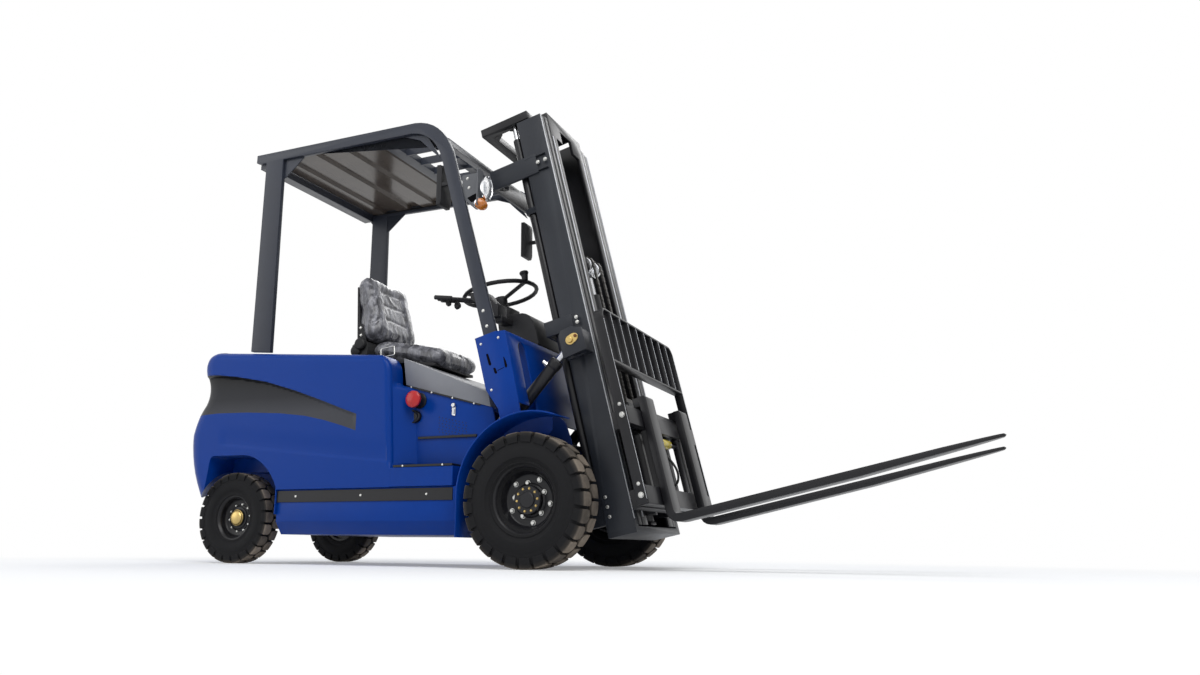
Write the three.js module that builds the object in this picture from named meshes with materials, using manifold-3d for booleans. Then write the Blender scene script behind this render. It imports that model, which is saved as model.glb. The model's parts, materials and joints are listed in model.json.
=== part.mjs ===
// Electric counterbalance forklift truck with a three-stage mast.
// Millimetres, +X forward, +Y to the driver's left, +Z up, floor at z = 0.
import * as THREE from "three";
import { mergeVertices } from "three/addons/utils/BufferGeometryUtils.js";
import Module from "manifold-3d";

const wasm = await Module();
wasm.setup();

// ---------------------------------------------------------------- driving dimensions
// Places along X are measured from the drive axle, before the whole truck is centred.
const WHEELBASE = 1576;
const GAP = 0.3; // between pieces that touch
const RUN = 0.5; // radial clearance of a pin in its hole

const DRIVE_TYRE_R = 270;
const DRIVE_TYRE_W = 157;
const DRIVE_RIM_R = 114;
const DRIVE_FACE_Y = 555; // outer face of the drive tyres
const STEER_TYRE_R = 210;
const STEER_TYRE_W = 105;
const STEER_RIM_R = 101;
const STEER_FACE_Y = 470;
const TYRE_SIDES = 32;

const AXLE_TUBE_R = 60;
const AXLE_CASE_R = 105;
const SPINDLE_R = 44;
const KINGPIN_Y = 335;
const STEER_BEAM = { halfX: 38, low: 168, high: 252 };

const BODY_Y = 505; // half width of the rear body
const BODY_REAR = -1889;
const BODY_TOP_REAR = 1023;
const BODY_TOP_FRONT = 928;
const BODY_LOW = 333; // lower edge of the side panels
const BODY_TAIL_LOW = 222;
const NOSE_X = -664; // front edge of the side wings
const FLARE_X = -590; // where the wings meet the battery case
const STEP_Z = 417;
const STEP_FRONT = -348;
const BAY_Y = 395; // half width of the battery compartment
const BAY_REAR = -1345;
const BAY_FRONT = -300;
const DECK_REAR = -1400;

const SKIRT_Y = 492;
const SKIRT_LOW = 133;
const SKIRT_REAR = -1290;
const SKIRT_FRONT = -304;
const FLOOR_Z = 550;
const FLOOR_HALF_Y = 298;
const ROLLER_R = 48;

const HOOD_SPLIT = -690; // where the hinged seat deck meets the fixed battery lid
const LID = { rearTop: 921, frontTop: 737, rearLow: 803, frontLow: 672, front: -226 };

const COWL_TOP = 982;
const COWL_LEAN = THREE.MathUtils.degToRad(12.7);
const COWL_TOP_X = -117;
const PLATE = 8;

const FENDER = { x: 30, z: 290, r: 334, wall: 6, inner: 387, frontDeg: 71, rearLow: 122 };

const GUARD_Y = 486; // outer faces of the overhead guard
const GUARD_TOP = 2055;
const GUARD_TUBE = 24;
const GUARD_RAIL = 50;
const GUARD_REAR = -1596;
const GUARD_FOOT = 905; // lower end of the front pillars, inside the cowl
const COWL_Y = GUARD_Y + GAP + PLATE;

const TILT_BACK = THREE.MathUtils.degToRad(13);
const MAST = { rear: 225, front: 350, low: 91, top: 2034, web: 14, flange: 14 };
const OUTER_Y = { out: 290, in: 247 };
const MIDDLE_Y = { out: 241.5, in: 207 };
const INNER_Y = { out: 201.5, in: 140 };
const STAGE_STEP = 2; // each inner stage stands this far further forward
const LIFT_CYL = { a: 201, y: 262, r: 20, bore: 12.5, rod: 12, low: 350, top: 1960 };
const FREE_CYL = { a: 300, r: 36, bore: 20.5, rod: 20, low: 120, top: 1180 };

const TILT_CYL = {
  y: 352, r: 27, bore: 15.5, rod: 15, pinR: 12, eyeBore: 18, pinA: 285, pinB: 890, baseX: -230, baseZ: 530,
};
const HEAD_LOW = 2040; // underside of the middle stage's head

const CARRIAGE = { rear: 392, front: 432, bar: 74, low: 141, high: 462, halfY: 400 };
const SHIFT_BAR = { rear: 443, front: 483, halfY: 460 };
const SHIFT_CYL = { a: 459, b: 429, r: 20, rod: 9, halfLen: 66, reach: 182 };
const FORK = { rear: 485.5, thick: 33, width: 100, inner: 189, heel: 64, top: 592, tip: 1752, tipLift: 23 };
const BACKREST = { halfY: 471, rear: 438, front: 480, railLow: 722, railTop: 960, foot: 145 };

// ---------------------------------------------------------------- materials
const paint = (color, roughness, metalness) =>
  new THREE.MeshStandardMaterial({ color, roughness, metalness });
const BLUE = paint(0x0a3c9c, 0.3, 0.1);
const SLATE = paint(0x3f444f, 0.5, 0.2);
const BLACK = paint(0x17181b, 0.5, 0.3);
const PLASTIC = paint(0x2b2c30, 0.7, 0);
const GREY = paint(0x55575c, 0.6, 0);
const RUBBER = paint(0x1c1b1a, 0.9, 0);
const STEEL = paint(0xb9bcc0, 0.3, 0.9);
const FABRIC = paint(0x3c3e44, 0.6, 0);
const TINT = paint(0x5a4a3c, 0.4, 0);
const YELLOW = paint(0xe0c310, 0.4, 0.1);
const LAMP = paint(0xdfe4ea, 0.2, 0.4);

// ---------------------------------------------------------------- shape helpers
const bare = (geometry) => {
  const g = geometry.index ? geometry.toNonIndexed() : geometry.clone();
  for (const name of Object.keys(g.attributes)) if (name !== "position") g.deleteAttribute(name);
  return mergeVertices(g, 1e-4);
};
const solid = (geometry) => {
  const g = bare(geometry);
  return new wasm.Manifold(new wasm.Mesh({
    numProp: 3,
    vertProperties: Float32Array.from(g.attributes.position.array),
    triVerts: Uint32Array.from(g.index.array),
  }));
};
const geometryOf = (manifold) => {
  const mesh = manifold.getMesh();
  const g = new THREE.BufferGeometry();
  g.setAttribute("position", new THREE.BufferAttribute(Float32Array.from(mesh.vertProperties), 3));
  g.setIndex(new THREE.BufferAttribute(Uint32Array.from(mesh.triVerts), 1));
  g.computeVertexNormals();
  return g;
};
const join = (list) => list.reduce((sum, piece) => sum.add(piece));
const cut = (base, list) => list.reduce((rest, piece) => rest.subtract(piece), base);

const box = (x0, x1, y0, y1, z0, z1) =>
  solid(new THREE.BoxGeometry(x1 - x0, y1 - y0, z1 - z0)
    .translate((x0 + x1) / 2, (y0 + y1) / 2, (z0 + z1) / 2));

const outline = (points) => new THREE.Shape(points.map(([u, v]) => new THREE.Vector2(u, v)));
const extrude = (shape, depth, curveSegments = 12) =>
  new THREE.ExtrudeGeometry(shape, { depth, bevelEnabled: false, curveSegments });
// An outline in X and Z, given thickness along Y.
const sideShape = (shape, y0, y1, segments) =>
  solid(extrude(shape, y1 - y0, segments).rotateX(Math.PI / 2).translate(0, y1, 0));
const side = (points, y0, y1) => sideShape(outline(points), y0, y1);
// An outline in X and Y, given height along Z.
const planShape = (shape, z0, z1, segments) => solid(extrude(shape, z1 - z0, segments).translate(0, 0, z0));
// An outline in Y and Z, given depth along X.
const frontShape = (shape, x0, x1, segments) => {
  const basis = new THREE.Matrix4().makeBasis(
    new THREE.Vector3(0, 1, 0), new THREE.Vector3(0, 0, 1), new THREE.Vector3(1, 0, 0));
  return solid(extrude(shape, x1 - x0, segments).applyMatrix4(basis).translate(x0, 0, 0));
};
const front = (points, x0, x1) => frontShape(outline(points), x0, x1);

// A round bar from p to q.
const bar = (p, q, r, sides = 16) => {
  const from = new THREE.Vector3(...p);
  const along = new THREE.Vector3(...q).sub(from);
  const turn = new THREE.Quaternion().setFromUnitVectors(
    new THREE.Vector3(0, 1, 0), along.clone().normalize());
  const geometry = new THREE.CylinderGeometry(r, r, along.length(), sides)
    .applyQuaternion(turn).translate(...from.addScaledVector(along, 0.5).toArray());
  return solid(geometry);
};
// A turned shape about an axis along Y through (x, z); profile points are [radius, y].
// The facets lie outside the named radius, and one faces straight down.
const turned = (profile, x, z, sides = TYRE_SIDES) => {
  const widen = 1 / Math.cos(Math.PI / sides);
  const points = profile.map(([r, y]) => new THREE.Vector2(r * widen, y));
  return solid(new THREE.LatheGeometry(points, sides, Math.PI / sides).translate(x, 0, z));
};
const mirrored = (manifold) => manifold.mirror([0, 1, 0]);
const both = (manifold) => manifold.add(mirrored(manifold));
const roundedPlan = (x0, x1, halfY, r) => {
  const s = new THREE.Shape();
  s.moveTo(x0 + r, -halfY);
  s.lineTo(x1, -halfY);
  s.lineTo(x1, halfY);
  s.lineTo(x0 + r, halfY);
  s.absarc(x0 + r, halfY - r, r, Math.PI / 2, Math.PI, false);
  s.absarc(x0 + r, -halfY + r, r, Math.PI, Math.PI * 1.5, false);
  return s;
};

// ---------------------------------------------------------------- scene graph
const forklift = new THREE.Group();
const truck = new THREE.Group();
forklift.add(truck);
// The mast leans back about the drive axle. Inside this group X is "a", measured
// across the mast, and Z is "b", measured along it, with b = tyre radius at the pivot.
const mast = new THREE.Group();
mast.position.z = DRIVE_TYRE_R;
mast.rotation.y = -TILT_BACK;
const mastInner = new THREE.Group();
mastInner.position.z = -DRIVE_TYRE_R;
mast.add(mastInner);
truck.add(mast);

const place = (parent, name, manifold, material) => {
  const mesh = new THREE.Mesh(geometryOf(manifold), material);
  mesh.name = name;
  parent.add(mesh);
};
const placePair = (parent, name, rightHand, material) => {
  place(parent, `${name}_R`, rightHand, material);
  place(parent, `${name}_L`, mirrored(rightHand), material);
};

// ---------------------------------------------------------------- rear body
const steerSweep = () => {
  // The space that a steered wheel turns through, about its kingpin.
  const reach = STEER_FACE_Y - KINGPIN_Y;
  const clear = 12;
  const points = [new THREE.Vector2(0, -5)];
  const steps = 8;
  const top = STEER_TYRE_R * 2;
  for (let i = 0; i <= steps; i++) {
    const z = STEER_TYRE_R + (top - STEER_TYRE_R) * Math.sin((Math.PI / 2) * (i / steps));
    const chord = Math.sqrt(Math.max(0, STEER_TYRE_R ** 2 - (z - STEER_TYRE_R) ** 2));
    const r = Math.hypot(chord, reach) + clear;
    if (i === 0) points.push(new THREE.Vector2(r, -5));
    points.push(new THREE.Vector2(r, z + clear));
  }
  points.push(new THREE.Vector2(0, top + clear));
  return solid(new THREE.LatheGeometry(points, 32).rotateX(Math.PI / 2)
    .translate(-WHEELBASE, -KINGPIN_Y, 0));
};

const bodyProfile = () => {
  const s = new THREE.Shape();
  s.moveTo(-1759, BODY_TAIL_LOW);
  s.lineTo(SKIRT_REAR, BODY_TAIL_LOW);
  s.lineTo(SKIRT_REAR, BODY_LOW);
  s.lineTo(STEP_FRONT, BODY_LOW);
  s.lineTo(STEP_FRONT, STEP_Z);
  s.lineTo(NOSE_X, STEP_Z);
  s.lineTo(NOSE_X, 446);
  s.lineTo(-691, 845);
  s.quadraticCurveTo(-696, 920, -770, BODY_TOP_FRONT + 3);
  s.lineTo(-1720, BODY_TOP_REAR);
  s.quadraticCurveTo(-1836, 1028, -1843, 950);
  s.quadraticCurveTo(-1843, 915, -1822, 870);
  s.quadraticCurveTo(-1800, 810, -1826, 755);
  s.quadraticCurveTo(-1872, 690, BODY_REAR, 606);
  s.quadraticCurveTo(BODY_REAR, 505, -1846, 395);
  return s;
};
const archProfile = () => {
  const s = new THREE.Shape();
  s.moveTo(-1775, 200);
  s.quadraticCurveTo(-1735, 300, -1716, 470);
  s.quadraticCurveTo(-1712, 500, -1690, 500);
  s.lineTo(-1500, 498);
  s.bezierCurveTo(-1420, 495, -1330, 430, SKIRT_REAR - 4, 343);
  s.lineTo(SKIRT_REAR - 4, 200);
  return s;
};
const buildBody = () => {
  const hull = sideShape(bodyProfile(), -BODY_Y, BODY_Y, 8)
    .intersect(planShape(roundedPlan(BODY_REAR - 5, STEP_FRONT + 5, BODY_Y, 90), 0, 1200, 6));
  const arches = sideShape(archProfile(), -BODY_Y - 5, -KINGPIN_Y, 8);
  const sweep = steerSweep();
  const cuts = [
    both(arches), both(sweep),
    // Channel for the steer axle beam.
    box(-WHEELBASE - 95, -WHEELBASE + 62, -KINGPIN_Y - 20, KINGPIN_Y + 20, 0, 300),
    // Battery compartment, open above and in front.
    box(BAY_REAR, 0, -BAY_Y, BAY_Y, 0, 1200),
    // Space below the seat deck.
    box(-1500, BAY_REAR + 1, -BAY_Y, BAY_Y, 620, 1200),
    // Seat deck recess in the top.
    side(deckSeat(), -BAY_Y - 28, BAY_Y + 28),
  ];
  // The wing's front edge flares inward to the battery case, below the lid.
  const flare = planShape(outline([
    [NOSE_X - 40, -BODY_Y], [NOSE_X, -BODY_Y], [FLARE_X, -CASE_Y - GAP], [NOSE_X - 40, -CASE_Y - GAP],
  ]), STEP_Z - 2, 900).intersect(side([
    [NOSE_X - 45, STEP_Z - 2], [FLARE_X + 5, STEP_Z - 2],
    [FLARE_X + 5, lidLine(FLARE_X + 5, true) - 1], [NOSE_X - 45, lidLine(NOSE_X - 45, true) - 1],
  ], -BODY_Y, 0));
  return cut(hull, cuts).add(both(flare));
};
// Side outline of the seat deck's underside, which the body's top is recessed for.
const bodyTop = (x) => BODY_TOP_REAR + ((BODY_TOP_FRONT + 3 - BODY_TOP_REAR) * (x + 1720)) / 950;
const deckTop = (x) => bodyTop(x) - 12;
function deckSeat() {
  return [
    [DECK_REAR - 110, deckTop(DECK_REAR - 110) - 8],
    [HOOD_SPLIT - 60, deckTop(HOOD_SPLIT - 60) - 8],
    [HOOD_SPLIT - 60, 1200],
    [DECK_REAR - 110, 1200],
  ];
}

// ---------------------------------------------------------------- chassis
const buildChassis = () => {
  const skirt = [
    [SKIRT_Y - 42, SKIRT_LOW], [SKIRT_Y, 190], [SKIRT_Y, BODY_LOW - GAP],
    [-SKIRT_Y, BODY_LOW - GAP], [-SKIRT_Y, 190], [-SKIRT_Y + 42, SKIRT_LOW],
  ];
  const tray = front(skirt, SKIRT_REAR + GAP, SKIRT_FRONT);
  const bay = box(BAY_REAR, BAY_FRONT - PLATE, -BAY_Y, BAY_Y, 170, 500);
  const frontBox = box(BAY_FRONT - PLATE, -118, -FLOOR_HALF_Y, FLOOR_HALF_Y, 240, FLOOR_Z - 10 - GAP);
  const frontHollow = box(BAY_FRONT + 12, -100, -FLOOR_HALF_Y + 12, FLOOR_HALF_Y - 12, 252, FLOOR_Z);
  const clamp = side([[-140, 195], [75, 195], [75, 372], [-140, 372]], -205, -160);
  const axleHole = bar([0, -300, DRIVE_TYRE_R], [0, 300, DRIVE_TYRE_R],
    AXLE_TUBE_R / Math.cos(Math.PI / 24) + 1, 24);
  const lug = side([
    [-300, 500], [-300, 420], [-200, 420], [-200, 560], [-260, 560],
  ], -FLOOR_HALF_Y - 18, -FLOOR_HALF_Y + 2);
  const lugPin = bar([TILT_CYL.baseX, -TILT_CYL.y - 24, TILT_CYL.baseZ],
    [TILT_CYL.baseX, -FLOOR_HALF_Y, TILT_CYL.baseZ], 14);
  const shell = cut(tray, [bay]).add(cut(frontBox, [frontHollow]));
  return cut(shell.add(both(clamp)).add(both(lug)).add(both(lugPin)), [axleHole]);
};
const buildFloor = () => box(BAY_FRONT + 2, -50, -FLOOR_HALF_Y + 3, FLOOR_HALF_Y - 3, FLOOR_Z - 10, FLOOR_Z);

// ---------------------------------------------------------------- battery case, lid and seat deck
const lidLine = (x, low) => {
  const rear = low ? LID.rearLow : LID.rearTop;
  const fore = low ? LID.frontLow : LID.frontTop;
  return rear + ((fore - rear) * (x - HOOD_SPLIT)) / (LID.front - HOOD_SPLIT);
};
const CASE_Y = 400;
const buildCase = () => {
  const wall = side([
    [NOSE_X + GAP, STEP_Z + GAP], [STEP_FRONT, STEP_Z + GAP], [STEP_FRONT, BODY_LOW],
    [SKIRT_FRONT, BODY_LOW], [-232, FLOOR_Z + GAP], [-206, FLOOR_Z + 60],
    [LID.front + 6, lidLine(LID.front + 6, true) - GAP],
    [NOSE_X + GAP, lidLine(NOSE_X + GAP, true) - GAP],
  ], -CASE_Y, -CASE_Y + PLATE);
  const frontWall = box(BAY_FRONT + 2, BAY_FRONT + 2 + PLATE, -CASE_Y + 2, CASE_Y - 2, FLOOR_Z + GAP, 660);
  const brow = side([
    [BAY_FRONT + 2, 640], [-216, FLOOR_Z + 100], [LID.front + 6, lidLine(LID.front + 6, true) - GAP],
    [BAY_FRONT + 2, lidLine(BAY_FRONT + 2, true) - GAP],
  ], -CASE_Y + 2, CASE_Y - 2);
  return cut(join([both(wall), frontWall, brow]), [
    fenderDisc(FENDER.r + GAP, -FENDER_FACE, -FENDER.inner + GAP),
    fenderDisc(FENDER.r + GAP, FENDER.inner - GAP, FENDER_FACE),
  ]);
};
const buildLid = () => side([
  [HOOD_SPLIT + 26, lidLine(HOOD_SPLIT + 26, true)], [LID.front, LID.frontLow],
  [LID.front - 14, LID.frontTop], [HOOD_SPLIT + 7, LID.rearTop - 1],
], -CASE_Y - 6, CASE_Y + 6).subtract(side([
  [HOOD_SPLIT, 700], [HOOD_SPLIT, lidLine(HOOD_SPLIT, false) - 12], [LID.front - 26, LID.frontTop - 14],
  [LID.front - 26, 600],
], -CASE_Y + 4, CASE_Y - 4));

const deckSkin = (x, lift) => [x, deckTop(x) + lift];
const DECK_UNDER = GAP - 8;
const buildDeck = () => join([
  side([
    deckSkin(DECK_REAR - 105, DECK_UNDER), deckSkin(HOOD_SPLIT - 66, DECK_UNDER),
    deckSkin(HOOD_SPLIT - 66, 8), deckSkin(DECK_REAR - 105, 8),
  ], -BAY_Y - 23, BAY_Y + 23),
  side([
    deckSkin(HOOD_SPLIT - 80, DECK_UNDER), deckSkin(HOOD_SPLIT - 60, -12),
    [HOOD_SPLIT - 4, LID.rearTop - 20], [HOOD_SPLIT, LID.rearTop + 1],
    deckSkin(HOOD_SPLIT - 60, 8), deckSkin(HOOD_SPLIT - 80, 8),
  ], -BAY_Y + 5, BAY_Y - 5),
]);

// ---------------------------------------------------------------- seat
const SEAT = { halfY: 205, heelX: -1046, heelZ: 990, noseZ: 936, noseX: -650, tip: -598, backTop: 1440 };
const onDeck = (x) => deckSkin(x, 8 + GAP);
const buildSeatBase = () => join([
  side([
    onDeck(-1100), onDeck(-760), [SEAT.noseX, SEAT.noseZ - 14], [SEAT.noseX, SEAT.noseZ - GAP],
    [SEAT.heelX - GAP, SEAT.heelZ - GAP], [-1100, SEAT.heelZ - GAP],
  ], -185, 185),
  side([
    onDeck(-1135), onDeck(SEAT.heelX - GAP), [SEAT.heelX - GAP, 1073 - GAP],
    [-1120, 1073 - GAP], [-1140, 1060],
  ], -190, 190),
]);
const buildCushion = () => {
  const s = new THREE.Shape();
  s.moveTo(SEAT.heelX, SEAT.heelZ);
  s.lineTo(SEAT.noseX, SEAT.noseZ);
  s.quadraticCurveTo(-606, 930, SEAT.tip, 960);
  s.quadraticCurveTo(SEAT.tip, 1012, SEAT.noseX, 1022);
  s.lineTo(-962, 1072);
  s.lineTo(SEAT.heelX, 1073 - GAP);
  return sideShape(s, -SEAT.halfY, SEAT.halfY, 5);
};
const buildSeatBack = () => {
  const s = new THREE.Shape();
  s.moveTo(-966, 1073);
  s.lineTo(-1068, SEAT.backTop - 50);
  s.quadraticCurveTo(-1084, SEAT.backTop, -1112, SEAT.backTop);
  s.quadraticCurveTo(-1148, SEAT.backTop, -1146, SEAT.backTop - 60);
  s.lineTo(-1116, 1073);
  return sideShape(s, -SEAT.halfY, SEAT.halfY, 5);
};

// ---------------------------------------------------------------- cowl, dash and controls
const leanX = (z) => COWL_TOP_X + (COWL_TOP - z) * Math.tan(COWL_LEAN);
const SLOT = { in: TILT_CYL.y - TILT_CYL.r - 9, out: TILT_CYL.y + TILT_CYL.r + 11, top: 948 };
const fenderDisc = (r, y0, y1) => turned([[0, y0], [r, y0], [r, y1], [0, y1]], FENDER.x, FENDER.z, 48);
const buildCowl = () => {
  const split = 668;
  const face = new THREE.Shape();
  face.moveTo(-SLOT.in, 372);
  face.lineTo(SLOT.in, 372);
  face.lineTo(SLOT.in, SLOT.top - 30);
  face.absarc((SLOT.in + SLOT.out) / 2, SLOT.top - 30, (SLOT.out - SLOT.in) / 2, Math.PI, 0, true);
  face.lineTo(SLOT.out, split);
  face.lineTo(COWL_Y, split);
  face.lineTo(COWL_Y, COWL_TOP);
  face.lineTo(-COWL_Y, COWL_TOP);
  face.lineTo(-COWL_Y, split);
  face.lineTo(-SLOT.out, split);
  face.lineTo(-SLOT.out, SLOT.top - 30);
  face.absarc(-(SLOT.in + SLOT.out) / 2, SLOT.top - 30, (SLOT.out - SLOT.in) / 2, Math.PI, 0, true);
  face.lineTo(-SLOT.in, 372);
  const slab = frontShape(face, -900, 900, 8);
  const lean = side([
    [leanX(360), 360], [leanX(COWL_TOP), COWL_TOP], [leanX(COWL_TOP) - PLATE, COWL_TOP],
    [leanX(360) - PLATE, 360],
  ], -COWL_Y, COWL_Y);
  const cheek = side([
    [-262, 958], [-167, COWL_TOP], [leanX(COWL_TOP) - 1, COWL_TOP], [leanX(560) - 1, 560],
    [-120, 560], [-145, 648], [-204, 730], [-225, 812],
  ], -COWL_Y, -COWL_Y + PLATE);
  const inner = side([
    [-150, COWL_TOP - 8], [leanX(COWL_TOP) - 1, COWL_TOP - 8], [leanX(FLOOR_Z) - 1, FLOOR_Z + GAP],
    [leanX(FLOOR_Z) - 90, FLOOR_Z + GAP],
  ], -FLOOR_HALF_Y, -FLOOR_HALF_Y + 5);
  const roof = side([
    [-262, 952], [-167, COWL_TOP - 5], [leanX(COWL_TOP) - 1, COWL_TOP - 5],
    [leanX(COWL_TOP) - 1, COWL_TOP - 12], [-167, COWL_TOP - 12], [-258, 945],
  ], -COWL_Y + 1, -FLOOR_HALF_Y + 3);
  const pillarHole = side([
    [pillarRear(880) - 3, 880], [pillarFront(880) + 3, 880],
    [pillarFront(1100) + 3, 1100], [pillarRear(1100) - 3, 1100],
  ], -GUARD_Y - GAP, -GUARD_Y + GUARD_TUBE + 3);
  const shell = slab.intersect(lean).add(both(cheek)).add(both(inner)).add(both(cut(roof, [pillarHole])));
  return cut(shell, [fenderDisc(FENDER.r + GAP, -FENDER_FACE - 5, FENDER_FACE + 5)]);
};
const FENDER_FACE = DRIVE_FACE_Y;
const buildFender = () => {
  const s = new THREE.Shape();
  const a = THREE.MathUtils.degToRad(FENDER.frontDeg);
  s.absarc(FENDER.x, FENDER.z, FENDER.r, a, Math.PI, false);
  s.lineTo(FENDER.x - FENDER.r, FENDER.rearLow);
  s.lineTo(FENDER.x - FENDER.r + FENDER.wall, FENDER.rearLow);
  s.lineTo(FENDER.x - FENDER.r + FENDER.wall, FENDER.z);
  s.absarc(FENDER.x, FENDER.z, FENDER.r - FENDER.wall, Math.PI, a, true);
  const skin = sideShape(s, -FENDER_FACE, -FENDER.inner, 20);
  const web = side([
    [-300, 300], [-300, 620], [60, 620], [60, 560], [-70, 440], [-118 - GAP, FLOOR_Z - 40], [-118 - GAP, 300],
  ], -FENDER.inner - 4, -FENDER.inner).intersect(
    turned([[0, -500], [FENDER.r - 1, -500], [FENDER.r - 1, 0], [0, 0]], FENDER.x, FENDER.z, 64));
  const shelf = box(-296, -118 - GAP, -FENDER.inner - 2, -FLOOR_HALF_Y - GAP, 300, 308);
  return join([skin, web, shelf]);
};

const buildDash = () => {
  const against = (z) => leanX(z) - PLATE - GAP;
  const s = new THREE.Shape();
  s.moveTo(-235, 900);
  s.lineTo(against(900), 900);
  s.lineTo(against(COWL_TOP), COWL_TOP + GAP);
  s.lineTo(-116, COWL_TOP + 8);
  s.quadraticCurveTo(-140, 1136, -200, 1141);
  s.lineTo(-320, 1139);
  s.quadraticCurveTo(-335, 1130, -318, 1090);
  return sideShape(s, -160, 250, 6);
};
const COLUMN = { foot: [-368, 1100], top: [-390, 1228], r: 33 };
const columnDir = new THREE.Vector2(
  COLUMN.top[0] - COLUMN.foot[0], COLUMN.top[1] - COLUMN.foot[1]).normalize();
const buildColumn = () => join([
  bar([COLUMN.foot[0], 0, COLUMN.foot[1]], [COLUMN.top[0], 0, COLUMN.top[1]], COLUMN.r, 16),
  side([[-412, 1150], [-325, 1165], [-318, 1205], [-360, 1222], [-415, 1205]], -48, 48),
  side([
    [-318 - GAP * 1.15, 1090], [-283 - GAP * 1.15, 1010], [-330, 1030],
    [-390, 1085], [-396, 1120], [-340, 1120],
  ], -28, 28),
]);
const WHEEL_RING = { r: 180, tube: 11, lift: 66 };
const buildSteeringWheel = () => {
  const turn = new THREE.Quaternion().setFromUnitVectors(
    new THREE.Vector3(0, 0, 1), new THREE.Vector3(columnDir.x, 0, columnDir.y));
  const ring = new THREE.TorusGeometry(WHEEL_RING.r, WHEEL_RING.tube, 6, 28)
    .translate(0, 0, WHEEL_RING.lift);
  const hub = new THREE.CylinderGeometry(30, 30, 46, 14).rotateX(Math.PI / 2).translate(0, 0, 23 + GAP);
  const spoke = (angle) => new THREE.BoxGeometry(WHEEL_RING.r - 18, 22, 10)
    .translate((WHEEL_RING.r - 16) / 2 + 18, 0, 0).rotateY(-0.2).translate(0, 0, 30).rotateZ(angle);
  const knob = new THREE.CylinderGeometry(19, 14, 46, 16).rotateX(Math.PI / 2)
    .translate(WHEEL_RING.r, 0, WHEEL_RING.lift + 30);
  const parts = [ring, hub, knob.rotateZ(-0.35)];
  for (const angle of [-0.35, 2.1, 4.0]) parts.push(spoke(angle));
  return join(parts.map((g) => solid(g.applyQuaternion(turn).translate(COLUMN.top[0], 0, COLUMN.top[1]))));
};
const LEVERS = { ys: [-225, -255, -285], root: [-385, 1196], grip: [-510, 1216], tip: [-602, 1230] };
const buildLevers = () => {
  const [rootX, rootZ] = LEVERS.root;
  const [gripX, gripZ] = LEVERS.grip;
  const list = [
    box(-300, -250, -270, -160 - GAP, 1085, 1110), box(-330, -255, -300, -210, 1100, 1160),
    side([[-330, 1150], [-262, 1150], [-330, 1226], [-400, 1226], [-400, 1196]], -300, -210),
  ];
  for (const y of LEVERS.ys) {
    list.push(bar([rootX, y, rootZ], [gripX - 20, y, gripZ + 3], 6, 6));
    list.push(bar([gripX, y, gripZ], [LEVERS.tip[0], y, LEVERS.tip[1]], 11, 8));
  }
  return join(list);
};
const buildPedals = () => {
  const pedal = (y0, y1) => join([
    side([[-168, 612], [-158, 606], [-128, 690], [-138, 696]], y0, y1),
    side([[-152, 650], [-140, 645], [-88, 764], [-98, 788]], (y0 + y1) / 2 - 8, (y0 + y1) / 2 + 8),
  ]);
  const hanger = box(-100, leanX(790) - PLATE - GAP, -200, 60, 762, 790);
  return join([pedal(-190, -120), pedal(-60, 40), hanger]);
};

// ---------------------------------------------------------------- overhead guard
// Rear and front edges of the front pillar in side view.
function pillarRear(z) {
  return -230 + ((985 - z) * 240) / 865;
}
function pillarFront(z) {
  return -170 + ((1000 - z) * 240) / 865;
}
const guardSide = () => {
  const s = new THREE.Shape();
  s.moveTo(-1528, bodyTop(-1528) + GAP);
  s.lineTo(-1408, bodyTop(-1408) + GAP);
  s.lineTo(-1421, GUARD_TOP - GUARD_RAIL);
  s.lineTo(-640, GUARD_TOP - GUARD_RAIL - 10);
  s.quadraticCurveTo(-520, GUARD_TOP - GUARD_RAIL - 22, -470, 1850);
  s.lineTo(pillarRear(GUARD_FOOT), GUARD_FOOT);
  s.lineTo(pillarFront(GUARD_FOOT), GUARD_FOOT);
  s.lineTo(-410, 1865);
  s.quadraticCurveTo(-470, 2035, -622, GUARD_TOP - 8);
  s.lineTo(GUARD_REAR, GUARD_TOP);
  s.lineTo(GUARD_REAR, GUARD_TOP - 42);
  s.lineTo(-1568, GUARD_TOP - GUARD_RAIL);
  s.lineTo(-1530, GUARD_TOP - GUARD_RAIL);
  return sideShape(s, -GUARD_Y, -GUARD_Y + GUARD_TUBE, 8);
};
const buildGuard = () => {
  const reach = GUARD_Y - GUARD_TUBE + 1;
  const cross = (x, z, w, h) => box(x - w / 2, x + w / 2, -reach, reach, z - h, z);
  return join([
    both(guardSide()), cross(GUARD_REAR + 40, GUARD_TOP - 2, 60, 70),
    cross(-620, GUARD_TOP - 12, 44, 34), cross(-462, 1945, 34, 30), guardSlats(),
  ]);
};
const buildRoof = () => box(GUARD_REAR + 70 + GAP, -642 - GAP,
  -GUARD_Y + GUARD_TUBE + GAP, GUARD_Y - GUARD_TUBE - GAP, GUARD_TOP - 22, GUARD_TOP - 16);
const guardSlats = () => {
  const list = [];
  const reach = GUARD_Y - GUARD_TUBE - 60;
  const count = 7;
  for (let i = 0; i < count; i++) {
    const y = -reach + (2 * reach * i) / (count - 1);
    list.push(side([
      [-612, 1996], [-612, 2036], [-556, 2030], [-500, 1988], [-458, 1930],
      [-482, 1916], [-530, 1963], [-572, 1991],
    ], y - 5, y + 5));
  }
  return join(list);
};

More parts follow.
